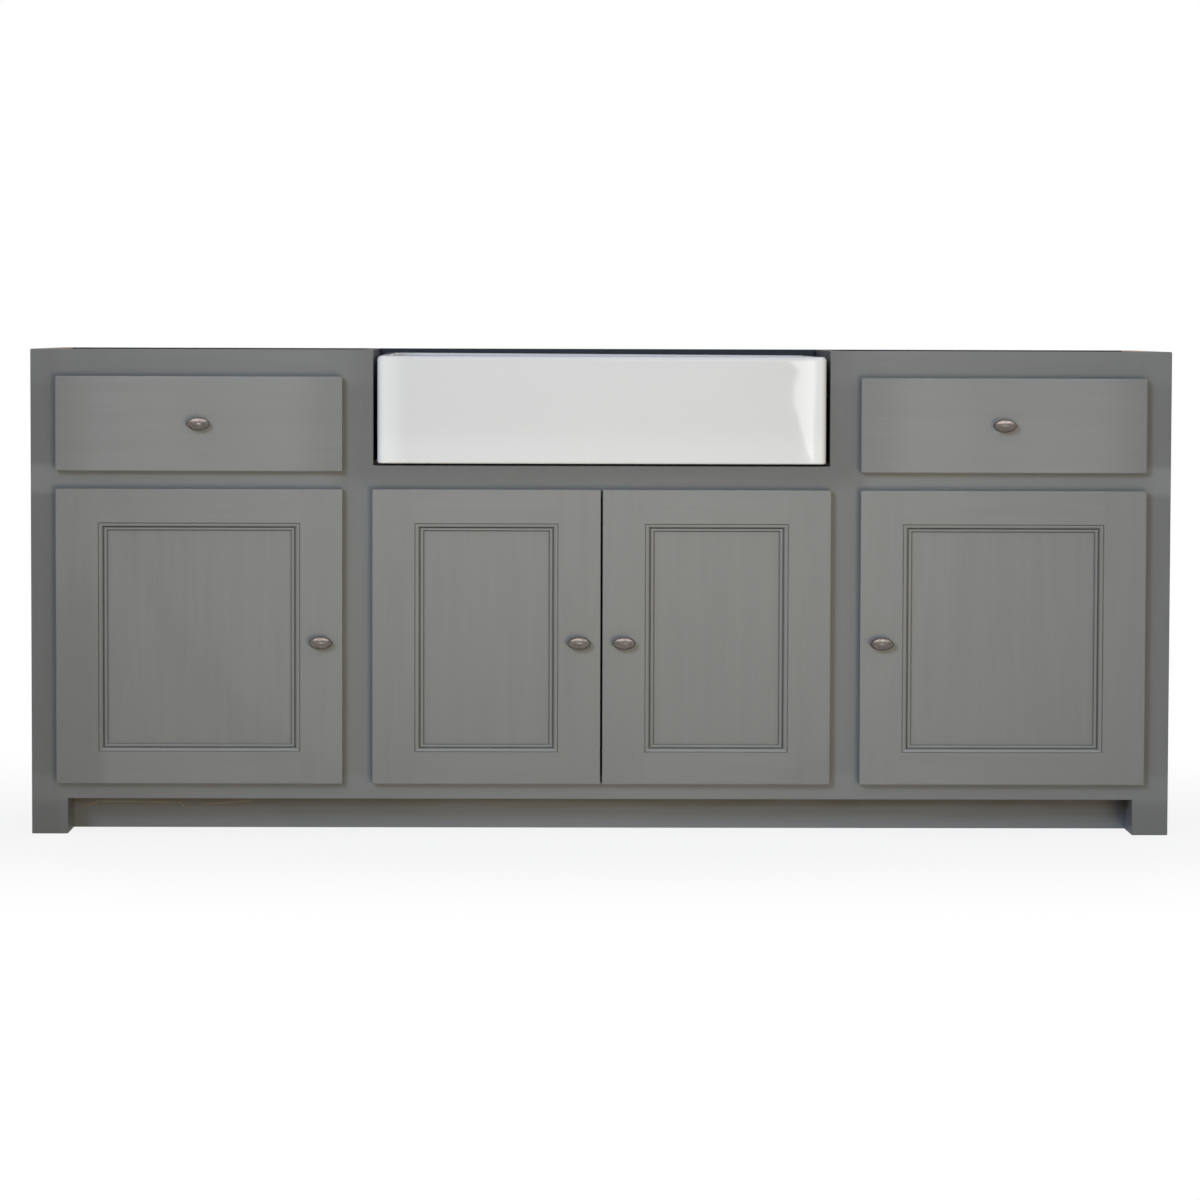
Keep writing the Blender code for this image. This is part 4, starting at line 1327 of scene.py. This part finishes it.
@dataclass
class Hinge:
    """A concealed hinge: a cup in the door with its pin, and an arm on the stile."""

    pivot_depth: float = 0.010
    door_gap: float = 0.003
    frame_thickness: float = 0.022
    overlay: float = 0.018
    clearance: float = 0.00025
    inset: float = 0.100
    radius: float = 0.0175
    edge_distance: float = 0.003
    depth: float = 0.0145
    wall: float = 0.0012
    bend: float = 0.002
    lip: float = 0.0004
    wing: Pair = (0.018, 0.062)
    wing_thickness: float = 0.0010
    wing_radius: float = 0.006
    wing_overlap: float = 0.002
    wing_drop: float = 0.0002
    wing_screw: float = 0.0235
    pin: float = 0.0014
    eye: float = 0.0030
    finger: Pair = (0.007, 0.0026)
    leg: float = 0.0030
    elbow: float = 0.0024
    plate: Pair = (0.0020, 0.036)
    plate_ease: float = 0.0005
    plate_screw: float = 0.68
    margin: float = 0.002
    screw: Screw = Screw(0.0034)
    adjuster: Screw = Screw(0.0026)
    adjuster_shift: float = 0.002
    cup_points: int = 48
    pin_points: int = 20

    @property
    def edge(self) -> float:
        """How far the pivot is from the door's edge, so that the door's back corner turns clear."""
        room = self.door_gap - self.clearance
        return math.sqrt(room * (room + 2 * self.pivot_depth))

    @property
    def centre(self) -> float:
        """How far the cup's middle is from the pivot."""
        return self.edge_distance + self.radius - self.edge

    @property
    def upright(self) -> Array:
        """The turn that lays a profile's axis along +Y."""
        return np.array([[1, 0, 0], [0, 0, 1], [0, -1, 0]], float)

    def bore(self) -> Shell:
        """The round seat for the cup, about the pivot."""
        reach = np.array([self.pivot_depth - self.depth - FIT_GAP, self.pivot_depth + OVERCUT])
        seat = turned(np.full(2, self.radius + FIT_GAP), reach, self.cup_points)
        return seat.set(self.upright, (self.centre, 0, 0))

    def cup(self) -> Shell:
        """The pressed cup, its screwed wings and its pin, about the pivot.

        Returns:
            The shells in one.
        """
        seat = self.pivot_depth + FIT_GAP
        rim = seat + self.wing_thickness
        floor = self.pivot_depth - self.depth
        outer, inner, lip = self.radius, self.radius - self.wall, self.lip
        out, over = quarter(4)
        radius = np.concatenate([[POLE], outer - self.bend * out, [outer, outer - lip, inner + lip, inner],
                                 inner - self.bend * over, [POLE]])
        height = np.concatenate([[floor], floor + self.bend * over, [rim - lip, rim, rim, rim - lip],
                                 floor + self.wall + self.bend * out, [floor + self.wall]])
        bowl = turned(radius, height, self.cup_points).set(self.upright, (self.centre, 0, 0))
        half_x, half_z = self.wing[0] / 2, self.wing[1] / 2
        loop = rounded_loops(np.array([half_x]), np.array([half_z]), np.array([self.wing_radius]), 6)[0]
        start, top = self.radius - self.wing_overlap, rim - self.wing_drop
        plates, heads = [], []
        for sign in (-1, 1):
            root = np.array([(-sign * half_x, sign * start), (sign * half_x, sign * start)])
            tongue = np.concatenate([loop[sign * loop[:, 1] > start], root])
            plates.append(prism(tongue + (self.centre, 0), 1, seat, top))
            heads.append(self.screw.head((self.centre, top, sign * self.wing_screw), (0, 1, 0)))
        reach = math.sqrt((outer - self.wall / 2) ** 2 - (self.centre + self.pin) ** 2)
        pin = turned(np.full(2, self.pin), np.array([-reach, reach]), self.pin_points)
        return join([bowl, *plates, pin, *heads])

    def arm(self) -> Shell:
        """The arm about the pivot: an eye on the pin, a finger, a leg and a screwed plate on the stile.

        Returns:
            The shells in one.
        """
        stile = self.overlay - self.edge + FIT_GAP
        leg = stile + self.plate[0]
        near = self.door_gap + self.pivot_depth + self.margin
        far = self.door_gap + self.pivot_depth + self.frame_thickness - self.margin
        top = self.finger[1] - self.eye
        bend, turn = self.elbow, np.linspace(-math.pi / 2, 0, 6)
        across, up = leg + self.leg - bend + bend * np.cos(turn), bend - self.eye + bend * np.sin(turn)
        tail = np.array([(leg + self.leg, far), (leg, far), (leg, top)])
        knuckle = self.eye * polar(np.linspace(math.asin(top / self.eye), 1.5 * math.pi, 17))
        outline = np.concatenate([np.stack([across, up], axis=-1), tail, knuckle])
        strap = prism(outline, 2, -self.finger[0] / 2, self.finger[0] / 2)
        half = self.plate[1] / 2
        plate = board((stile, near, -half), (leg, far, half), Grain.Z, self.plate_ease)
        middle = (near + far) / 2
        heads = [self.screw.head((leg, middle, sign * half * self.plate_screw), (1, 0, 0))
                 for sign in (-1, 1)]
        heads.append(self.adjuster.head((leg + self.leg, middle + self.adjuster_shift, 0.0), (1, 0, 0)))
        return join([strap, plate, *heads])


@dataclass
class Door:
    """A framed door with a stuck moulding, a flat panel, a knob, hinges and buffers."""

    name: str
    hinges_on: Side
    stile: float = 0.075
    top_rail: float = 0.060
    bottom_rail: float = 0.057
    ease: float = 0.0016
    recess: float = 0.010
    panel: float = 0.006
    groove: float = 0.008
    arris: float = 0.0004
    quirk: float = 0.0012
    quirk_depth: float = 0.0026
    ovolo: Pair = (0.0054, 0.0046)
    ovolo_depth: float = 0.0008
    slot: float = 0.0016
    slot_depth: float = 0.0084
    bead: float = 0.0022
    bead_depth: float = 0.0060
    width: float = 0.0140
    line_depth: float = 0.0094
    spread: float = 1.22
    buffer_radius: float = 0.0045
    buffer_height: float = 0.0022
    buffer_inset: Pair = (0.026, 0.0075)
    buffer_points: int = 24

    def moulding(self, thickness: float) -> tuple[Array, Array]:
        """The inner edge's section as (inset, depth) from the flat of the frame round to its back.

        A square quirk, an ovolo as a quarter ellipse, a square slot, a bead as a half circle, a square line
        by the panel, the panel's groove and the lip behind it.

        Args:
            thickness: The door's thickness.

        Returns:
            Points, (n, 2), and for each step along them 1 in the bottom of a slot, 2 where it is a round that
            slopes to the panel, and otherwise 0.
        """
        turn, half = np.linspace(0, math.pi / 2, 11), np.linspace(0, math.pi, 15)
        ovolo = np.stack([np.sin(turn), 1 - np.cos(turn)], axis=-1) * self.ovolo
        ovolo += (self.quirk, self.ovolo_depth)
        start = self.quirk + self.ovolo[0]
        bead_start = start + self.slot
        bead_end = bead_start + 2 * self.bead
        across, sunk = bead_start + self.bead * (1 - np.cos(half)), self.bead_depth - self.bead * np.sin(half)
        bead = np.stack([across, sunk], axis=-1)
        front, back = self.recess - FIT_GAP, self.recess + self.panel + FIT_GAP
        inner = self.width - self.groove
        quirk = [(-self.arris, 0.0), (0.0, self.arris), (0.0, self.quirk_depth),
                 (self.quirk, self.quirk_depth)]
        slot = [(start, self.slot_depth), (bead_start, self.slot_depth)]
        rest = [(bead_end, self.line_depth), (self.width, self.line_depth), (self.width, front),
                (inner, front), (inner, back), (self.width, back), (self.width, thickness)]
        section = np.concatenate([quirk, ovolo, slot, bead, rest])
        slot_step, line_step = len(quirk) + len(ovolo), len(section) - len(rest)
        kind = np.zeros(len(section) - 1, int)
        kind[[2, slot_step, line_step]] = 1
        kind[len(quirk):slot_step - 1] = 2
        kind[line_step - len(bead) // 2:line_step - 1] = 2
        return section, kind

    def frame_shell(self) -> Shell:
        """Carry the edge's rounding round the outside and the moulding round the inside, and fill the flats.

        The outer loops have a point at each end of each rail, so that stiles and rails are separate faces.
        On the stiles the moulding's insets are spread, apart from the bottom of the panel's groove.

        Returns:
            The closed shell, with finish 0 on the stiles, 1 on the rails, 2 to 4 in the slots of the upper
            rail, the stiles and the lower rail, darker as painted shade, and 5 on the lower rail's rounds,
            lighter as a painted highlight.
        """
        low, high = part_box(f"{self.name}_frame")
        thickness = high.y - low.y
        round_in, round_back = (self.ease * way for way in quarter(EASE_STEPS))
        inset = np.concatenate([round_in, round_in[::-1]])
        depth = np.concatenate([round_back, thickness - round_back[::-1]])
        left, right, bottom, top = low.x + inset, high.x - inset, low.z + inset, high.z - inset
        first, last = np.full_like(inset, low.x + self.stile), np.full_like(inset, high.x - self.stile)
        outer_x = [left, first, last, right, right, last, first, left]
        outer = standing(outer_x, low.y + depth, [bottom] * 4 + [top] * 4)

        section, kind = self.moulding(thickness)
        step, sunk = section[:, 0], section[:, 1]
        aside = step * self.spread
        aside[[-4, -3]] = step[[-4, -3]]
        left, right = low.x + self.stile + aside, high.x - self.stile - aside
        bottom, top = low.z + self.bottom_rail + step, high.z - self.top_rail - step
        inner = standing([left, right, right, left], low.y + sunk, [bottom, bottom, top, top])

        points = np.concatenate([outer.reshape(-1, 3), inner.reshape(-1, 3)])
        start = outer.shape[0] * 8
        round_faces = lattice(outer.shape[0], 8)
        inner_faces = lattice(inner.shape[0], 4)[:, ::-1] + start
        round_tags = np.isin(np.arange(len(round_faces)) % 8, (1, 5)).astype(int)
        # slot bottoms take the painted shade paints, and the lower rail's rounds the painted highlight
        inner_tags = np.array([[1, 0, 1, 0], [4, 3, 2, 3], [5, 0, 1, 0]])[kind].reshape(-1)
        stiles, rails = [], []
        for outer_row, inner_row, order in ((0, start, 1), (start - 8, len(points) - 4, -1)):
            corners = np.append(outer_row + np.arange(8), inner_row + np.arange(4))
            stiles += [corners[[0, 1, 8, 11, 6, 7]][::order], corners[[2, 3, 4, 5, 10, 9]][::order]]
            rails += [corners[[1, 2, 9, 8]][::order], corners[[11, 10, 5, 6]][::order]]
        arris = np.zeros(len(points))
        arris[:start] = np.repeat(np.concatenate([EASE_WEAR, EASE_WEAR[::-1]]), 8)
        faces = [round_faces, inner_faces, np.array(stiles), np.array(rails)]
        tags = [round_tags, inner_tags, np.zeros(4, int), np.ones(4, int)]
        return Shell(points, faces, tags, arris).outward()

    def buffers(self) -> Shell:
        """Two low round buffers on the back, by the free edge: discs with a quarter-ellipse shoulder."""
        low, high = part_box(f"{self.name}_frame")
        turn = np.linspace(0, math.pi / 2, 6)[:-1]
        radius = np.append(self.buffer_radius * np.cos(turn), POLE)
        height = np.append(self.buffer_height * np.sin(turn), self.buffer_height)
        dome = turned(radius, height, self.buffer_points)
        aside, up = self.buffer_inset
        free = high.x - aside if self.hinges_on is Side.LEFT else low.x + aside
        return join([dome.set(facing((0, 1, 0)), (free, high.y, z)) for z in (low.z + up, high.z - up)])

    def build(self, hinge: Hinge) -> None:
        """Make the door's pieces.

        Args:
            hinge: The hinge that it hangs on.
        """
        side = self.hinges_on.value
        low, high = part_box(f"{self.name}_frame")
        pivot_x = (low.x if side < 0 else high.x) - side * hinge.edge
        turn = np.diag([-side, 1.0, -side])
        spots = [(word, (pivot_x, high.y - hinge.pivot_depth, z))
                 for word, z in (("lower", low.z + hinge.inset), ("upper", high.z - hinge.inset))]
        bores = [hinge.bore().set(turn, place) for _, place in spots]
        shell = self.frame_shell()
        add_piece(f"{self.name}_frame", shell, DOOR_FRAME_PAINTS, self.name, bores=bores)
        for word, place in spots:
            name = f"{self.name}_{word}_hinge"
            add_piece(f"{name}_cup", hinge.cup().set(turn, place), (NICKEL,), self.name)
            add_piece(f"{name}_arm", hinge.arm().set(turn, place), (NICKEL,), CARCASS)
        Knob().build(f"{self.name}_knob", self.name)
        add_piece(f"{self.name}_buffers", self.buffers(), (BUFFER,), self.name)
        dress(f"{self.name}_panel", DOOR_STILE_PAINT)


@dataclass
class Drawer:
    """A drawer: a slab front with a knob, and a dovetailed pine box."""

    side: Side
    wall: float = 0.015
    tails: int = 3
    slope: float = 0.0020
    pin: float = 0.011
    pin_overlap: float = 0.0003
    ease: float = 0.0022
    box_ease: float = 0.0004
    screw: Screw = Screw(0.004)
    screws_aside: float = 0.14
    screws_up: tuple[float, ...] = (0.04, 0.09)

    def tail_edges(self, height: float) -> Array:
        """The heights of each tail's two sides at the joint's shoulder, (tails, 2)."""
        pitch = height / self.tails
        middle = (np.arange(self.tails) + 0.5) * pitch
        half = (pitch - self.pin) / 2
        return np.stack([middle - half, middle + half], axis=-1)

    def side_wall(self, low: Vector, high: Vector, x: Pair) -> Shell:
        """A side: its outline in y and z has tails at both ends, wider at their tips by the slope.

        Args:
            low: The box's lowest corner.
            high: Its highest corner.
            x: Where the wall starts and ends.

        Returns:
            The closed shell.
        """
        spread = np.array([0.0, -self.slope, self.slope, 0.0])
        z = (self.tail_edges(high.z - low.z)[:, [0, 0, 1, 1]] + spread).reshape(-1) + low.z
        tips = np.tile([1, 0, 0, 1], self.tails)
        near, far = low.y + self.wall, high.y - self.wall
        front = np.stack([low.y + self.wall * tips, z], axis=-1)
        back = np.stack([high.y - self.wall * tips, z], axis=-1)
        outline = [[(near, low.z)], front, [(near, high.z), (far, high.z)], back[::-1], [(far, low.z)]]
        return prism(np.concatenate(outline), 0, *x)

    def end_wall(self, low: Vector, high: Vector, outer: float, inner: float) -> list[Shell]:
        """The front or back wall with its pins, which fill what the tails leave.

        Args:
            low: The box's lowest corner.
            high: Its highest corner.
            outer: Where its outer face is, along y.
            inner: Where its inner face is.

        Returns:
            The wall and its pins.
        """
        edges = self.tail_edges(high.z - low.z) + low.z
        shoulder = np.stack([np.append(low.z, edges[:, 1]), np.append(edges[:, 0], high.z)], axis=-1)
        tip = shoulder + (self.slope, -self.slope)
        tip[0, 0], tip[-1, 1] = low.z, high.z
        left, right = low.x + self.wall, high.x - self.wall
        near, far = sorted((outer, inner))
        shells = [board((left, near, low.z), (right, far, high.z), Grain.X, self.box_ease)]
        for (tip_low, tip_high), (low_z, high_z) in zip(tip, shoulder):
            outline = np.array([(outer, tip_low), (inner, low_z), (inner, high_z), (outer, tip_high)])
            for x in ((low.x, left + self.pin_overlap), (right - self.pin_overlap, high.x)):
                shells.append(prism(outline, 0, *x).tagged(1, 0))
        return shells

    def box(self, name: str) -> None:
        """Make the four dovetailed walls, with the screws that hold the front."""
        low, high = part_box(f"{name}_box")
        shells = self.end_wall(low, high, low.y, low.y + self.wall)
        shells += self.end_wall(low, high, high.y, high.y - self.wall)
        for x in ((low.x, low.x + self.wall), (high.x - self.wall, high.x)):
            shells.append(self.side_wall(low, high, x).tagged(2).tagged(3, 1, least=0.95))
        finishes = (*PINE_ACROSS, PINE[Grain.Y], PINE_END[Grain.Y])
        add_piece(f"{name}_box", join(shells), finishes, name)
        middle, seat = (low.x + high.x) / 2, low.y + self.wall
        spots = [(middle + aside, low.z + up) for aside in (-self.screws_aside, self.screws_aside)
                 for up in self.screws_up]
        heads = [self.screw.head((x, seat, z), (0, 1, 0)) for x, z in spots]
        add_piece(f"{name}_screws", join(heads), (NICKEL,), name)

    def build(self) -> None:
        """Make the drawer's pieces."""
        name = f"{self.side.word}_drawer"
        front = node_board(f"{name}_front", Grain.X, self.ease)
        add_piece(f"{name}_front", front, (DRAWER_PAINT,), name)
        self.box(name)
        Knob().build(f"{name}_knob", name)
        dress(f"{name}_bottom", PINE[Grain.X])


def dress(node: str, finish: Finish) -> None:
    """Give a CAD node that stays a finish of its own."""
    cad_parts[node].material_slots[0].link = "OBJECT"
    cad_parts[node].material_slots[0].material = material(finish)


@dataclass(frozen=True)
class PhotoCamera:
    """The camera at the photograph's viewing angle; turns are in degrees."""

    place: Point = (-0.1138, -8.5235, 0.900)
    pitch: float = -3.3414
    yaw: float = 0.7725
    roll: float = 0.1744
    lens: float = 139.93
    sensor: float = 36.0
    far: float = 200.0

    def build(self) -> None:
        """Make the camera and look through it."""
        pitch, yaw, roll = (math.radians(turn) for turn in (self.pitch, self.yaw, self.roll))
        ahead = Vector((math.sin(yaw) * math.cos(pitch), math.cos(yaw) * math.cos(pitch), math.sin(pitch)))
        level = Vector((math.cos(yaw), -math.sin(yaw), 0.0))
        upright = level.cross(ahead)
        right = level * math.cos(roll) + upright * math.sin(roll)
        up = upright * math.cos(roll) - level * math.sin(roll)
        lens = bpy.data.cameras.new("photo_camera")
        lens.lens, lens.clip_end = self.lens, self.far
        lens.sensor_width, lens.sensor_fit = self.sensor, "HORIZONTAL"
        camera = bpy.data.objects.new("photo_camera", lens)
        bpy.context.scene.collection.objects.link(camera)
        turn = Matrix((right, up, -ahead)).transposed().to_4x4()
        camera.matrix_world = Matrix.Translation(self.place) @ turn
        bpy.context.scene.camera = camera


def hang(light: bpy.types.Light, place: Sequence[float], aim: Sequence[float]) -> None:
    """Put a lamp at a place, looking at a point, out of sight and out of every mirror.

    Args:
        light: The lamp's data.
        place: Where it hangs.
        aim: The point.
    """
    lamp = bpy.data.objects.new(light.name, light)
    lamp.location = place
    lamp.rotation_euler = (Vector(aim) - Vector(place)).to_track_quat("-Z", "Y").to_euler()
    lamp.visible_camera = lamp.visible_glossy = False
    bpy.context.scene.collection.objects.link(lamp)


@dataclass(frozen=True)
class Softbox:
    """A soft lamp that looks at a point."""

    name: str
    place: Point
    aim: Point
    size: Pair
    power: float
    colour: Colour

    def build(self) -> None:
        """Hang the lamp."""
        light = bpy.data.lights.new(self.name, "AREA")
        light.shape, light.size, light.size_y = "RECTANGLE", *self.size
        light.energy, light.color = self.power, self.colour
        hang(light, self.place, self.aim)


@dataclass(frozen=True)
class Spotlight:
    """A round lamp; beam is its full angle in degrees, and fade the share of it that falls off."""

    name: str
    place: Point
    aim: Point
    beam: float
    radius: float
    power: float
    colour: Colour
    fade: float = 1.0

    def build(self) -> None:
        """Hang the lamp."""
        light = bpy.data.lights.new(self.name, "SPOT")
        light.spot_size, light.spot_blend = math.radians(self.beam), self.fade
        light.shadow_soft_size = self.radius
        light.energy, light.color = self.power, self.colour
        hang(light, self.place, self.aim)


COOL_LAMP = Spotlight("cool_high_left", (-2.3, -6.3, 2.7), (0.13, -0.27, 0.88), 32.4, 0.85, 1160.0,
                      (0.625, 0.785, 1.0))
WARM_LAMP = Spotlight("warm_low_right", (1.7, -6.3, -0.7), (-0.04, -0.27, 0.7), 35.6, 1.3, 1020.0,
                      (1.0, 0.885, 0.57))
BACK_LAMP = Softbox("behind", (0.6, 5.5, 2.6), (0.0, 0.3, 0.4), (3.0, 2.0), 160.0, (1.0, 0.98, 0.95))


@dataclass(frozen=True)
class Studio:
    """A white room: a pale floor that keeps the shadow, three lamps and an even sky."""

    sky: float = 0.38
    sky_tint: Colour = (0.90, 0.92, 1.0)
    floor_rings: tuple[float, ...] = (0.02, 2.0, 6.0, 10.0)
    floor_points: int = 64
    floor_drop: float = 0.0005
    floor_grey: Colour = (0.86, 0.86, 0.86)
    floor_shaded: Pair = (0.4, 1.6)
    lamps: tuple[Softbox | Spotlight, ...] = (COOL_LAMP, WARM_LAMP, BACK_LAMP)

    def rays(self, recipe: Recipe) -> tuple[Signal, Signal]:
        """1 for rays that look at the white, and 1 for rays that mirror it."""
        path = recipe.node("ShaderNodeLightPath").socket.node
        seen, mirrored, through = (Signal(recipe, path.outputs[name]) for name in
                                   ("Is Camera Ray", "Is Glossy Ray", "Is Transmission Ray"))
        return seen.at_least(through), mirrored

    def mirrored_room(self, recipe: Recipe) -> Signal:
        """How bright the room is in a mirror, by the direction.

        It is dim all round, with light from overhead and, a little to the right of the camera, a window
        whose left edge slants and is ragged.

        Args:
            recipe: The world's recipe.

        Returns:
            The brightness.
        """
        beside, ahead, up = recipe.axes()
        ragged = recipe.noise(recipe.vector(0.0, 0.0, up * 620.0), 1.0, 4.0)
        window = (beside + up * 1.74 + ragged * 0.045).ease(0.108, 0.116) * beside.ease(0.19, 0.165)
        window = window * up.ease(0.25, 0.10) * ahead.ease(0.0, -0.3)
        overhead = up.ease(0.60, 0.88) * (1.0 - 0.3 * abs(beside))
        return 0.50 + 4.2 * window + 1.7 * overhead

    def world(self) -> None:
        """An even sky that lights the cabinet, white to look at, with the room in its mirrors."""
        world = bpy.data.worlds.new("white_room")
        world.use_nodes = True
        bpy.context.scene.world = world
        recipe = Recipe(world.node_tree)
        seen, mirrored = self.rays(recipe)
        over = recipe.axes()[2].ease(-0.04, 0.0)
        strength = seen + mirrored * self.mirrored_room(recipe) + (1.0 - seen - mirrored) * over * self.sky
        colour = recipe.mix(seen + mirrored, self.sky_tint, (1.0, 1.0, 1.0))
        shader = recipe.node("ShaderNodeBackground", inputs={"Color": colour, "Strength": strength})
        recipe.node("ShaderNodeOutputWorld", inputs={"Surface": shader})

    def floor(self) -> None:
        """A flat disc, (r cos t, r sin t), that turns from shaded floor to plain white away from the cabinet.

        It takes the cabinet's shadow but casts none, so the low lamp's light passes through it.
        """
        rings = np.array(self.floor_rings)[:, None, None] * circle(self.floor_points)
        points = raised(rings, -self.floor_drop).reshape(-1, 3)
        faces = [lattice(*rings.shape[:2])[:, ::-1], np.arange(self.floor_points)[None]]
        shell = Shell(points, faces, [np.zeros(len(group), int) for group in faces], np.zeros(len(points)))
        floor = bpy.data.objects.new("studio_floor", mesh_of("studio_floor", shell))
        floor.visible_shadow = False
        bpy.context.scene.collection.objects.link(floor)
        paint = bpy.data.materials.new("studio floor white")
        paint.use_nodes = True
        floor.data.materials.append(paint)
        recipe = Recipe(paint.node_tree)
        x, y, _ = recipe.axes()
        away = ((x * 0.55) ** 2.0 + y ** 2.0) ** 0.5
        grey = recipe.node("ShaderNodeBsdfDiffuse", inputs={"Color": (*self.floor_grey, 1.0)})
        seen, mirrored = self.rays(recipe)
        share = seen * (0.86 + 0.14 * away.ease(*self.floor_shaded)) + mirrored
        bright = seen + mirrored * 0.5
        glow = recipe.node("ShaderNodeEmission", inputs={"Color": (1.0, 1.0, 1.0, 1.0), "Strength": bright})
        shader = recipe.node("ShaderNodeMixShader", inputs={0: share, 1: grey, 2: glow})
        recipe.node("ShaderNodeOutputMaterial", inputs={"Surface": shader})

    def build(self) -> None:
        """Set up the room."""
        self.world()
        self.floor()
        for lamp in self.lamps:
            lamp.build()


def main() -> None:
    logging.basicConfig(level=logging.INFO, format="%(message)s")
    bpy.context.scene.view_settings.view_transform = "Standard"
    PhotoCamera().build()
    Studio().build()
    FaceFrame().build()
    Carcass().build()
    Sink().build()
    hinge = Hinge()
    for side in Side:
        Door(f"{side.word}_door", side).build(hinge)
        Door(f"sink_door_{side.word}", side).build(hinge)
        Drawer(side).build()


if __name__ == "__main__":
    main()
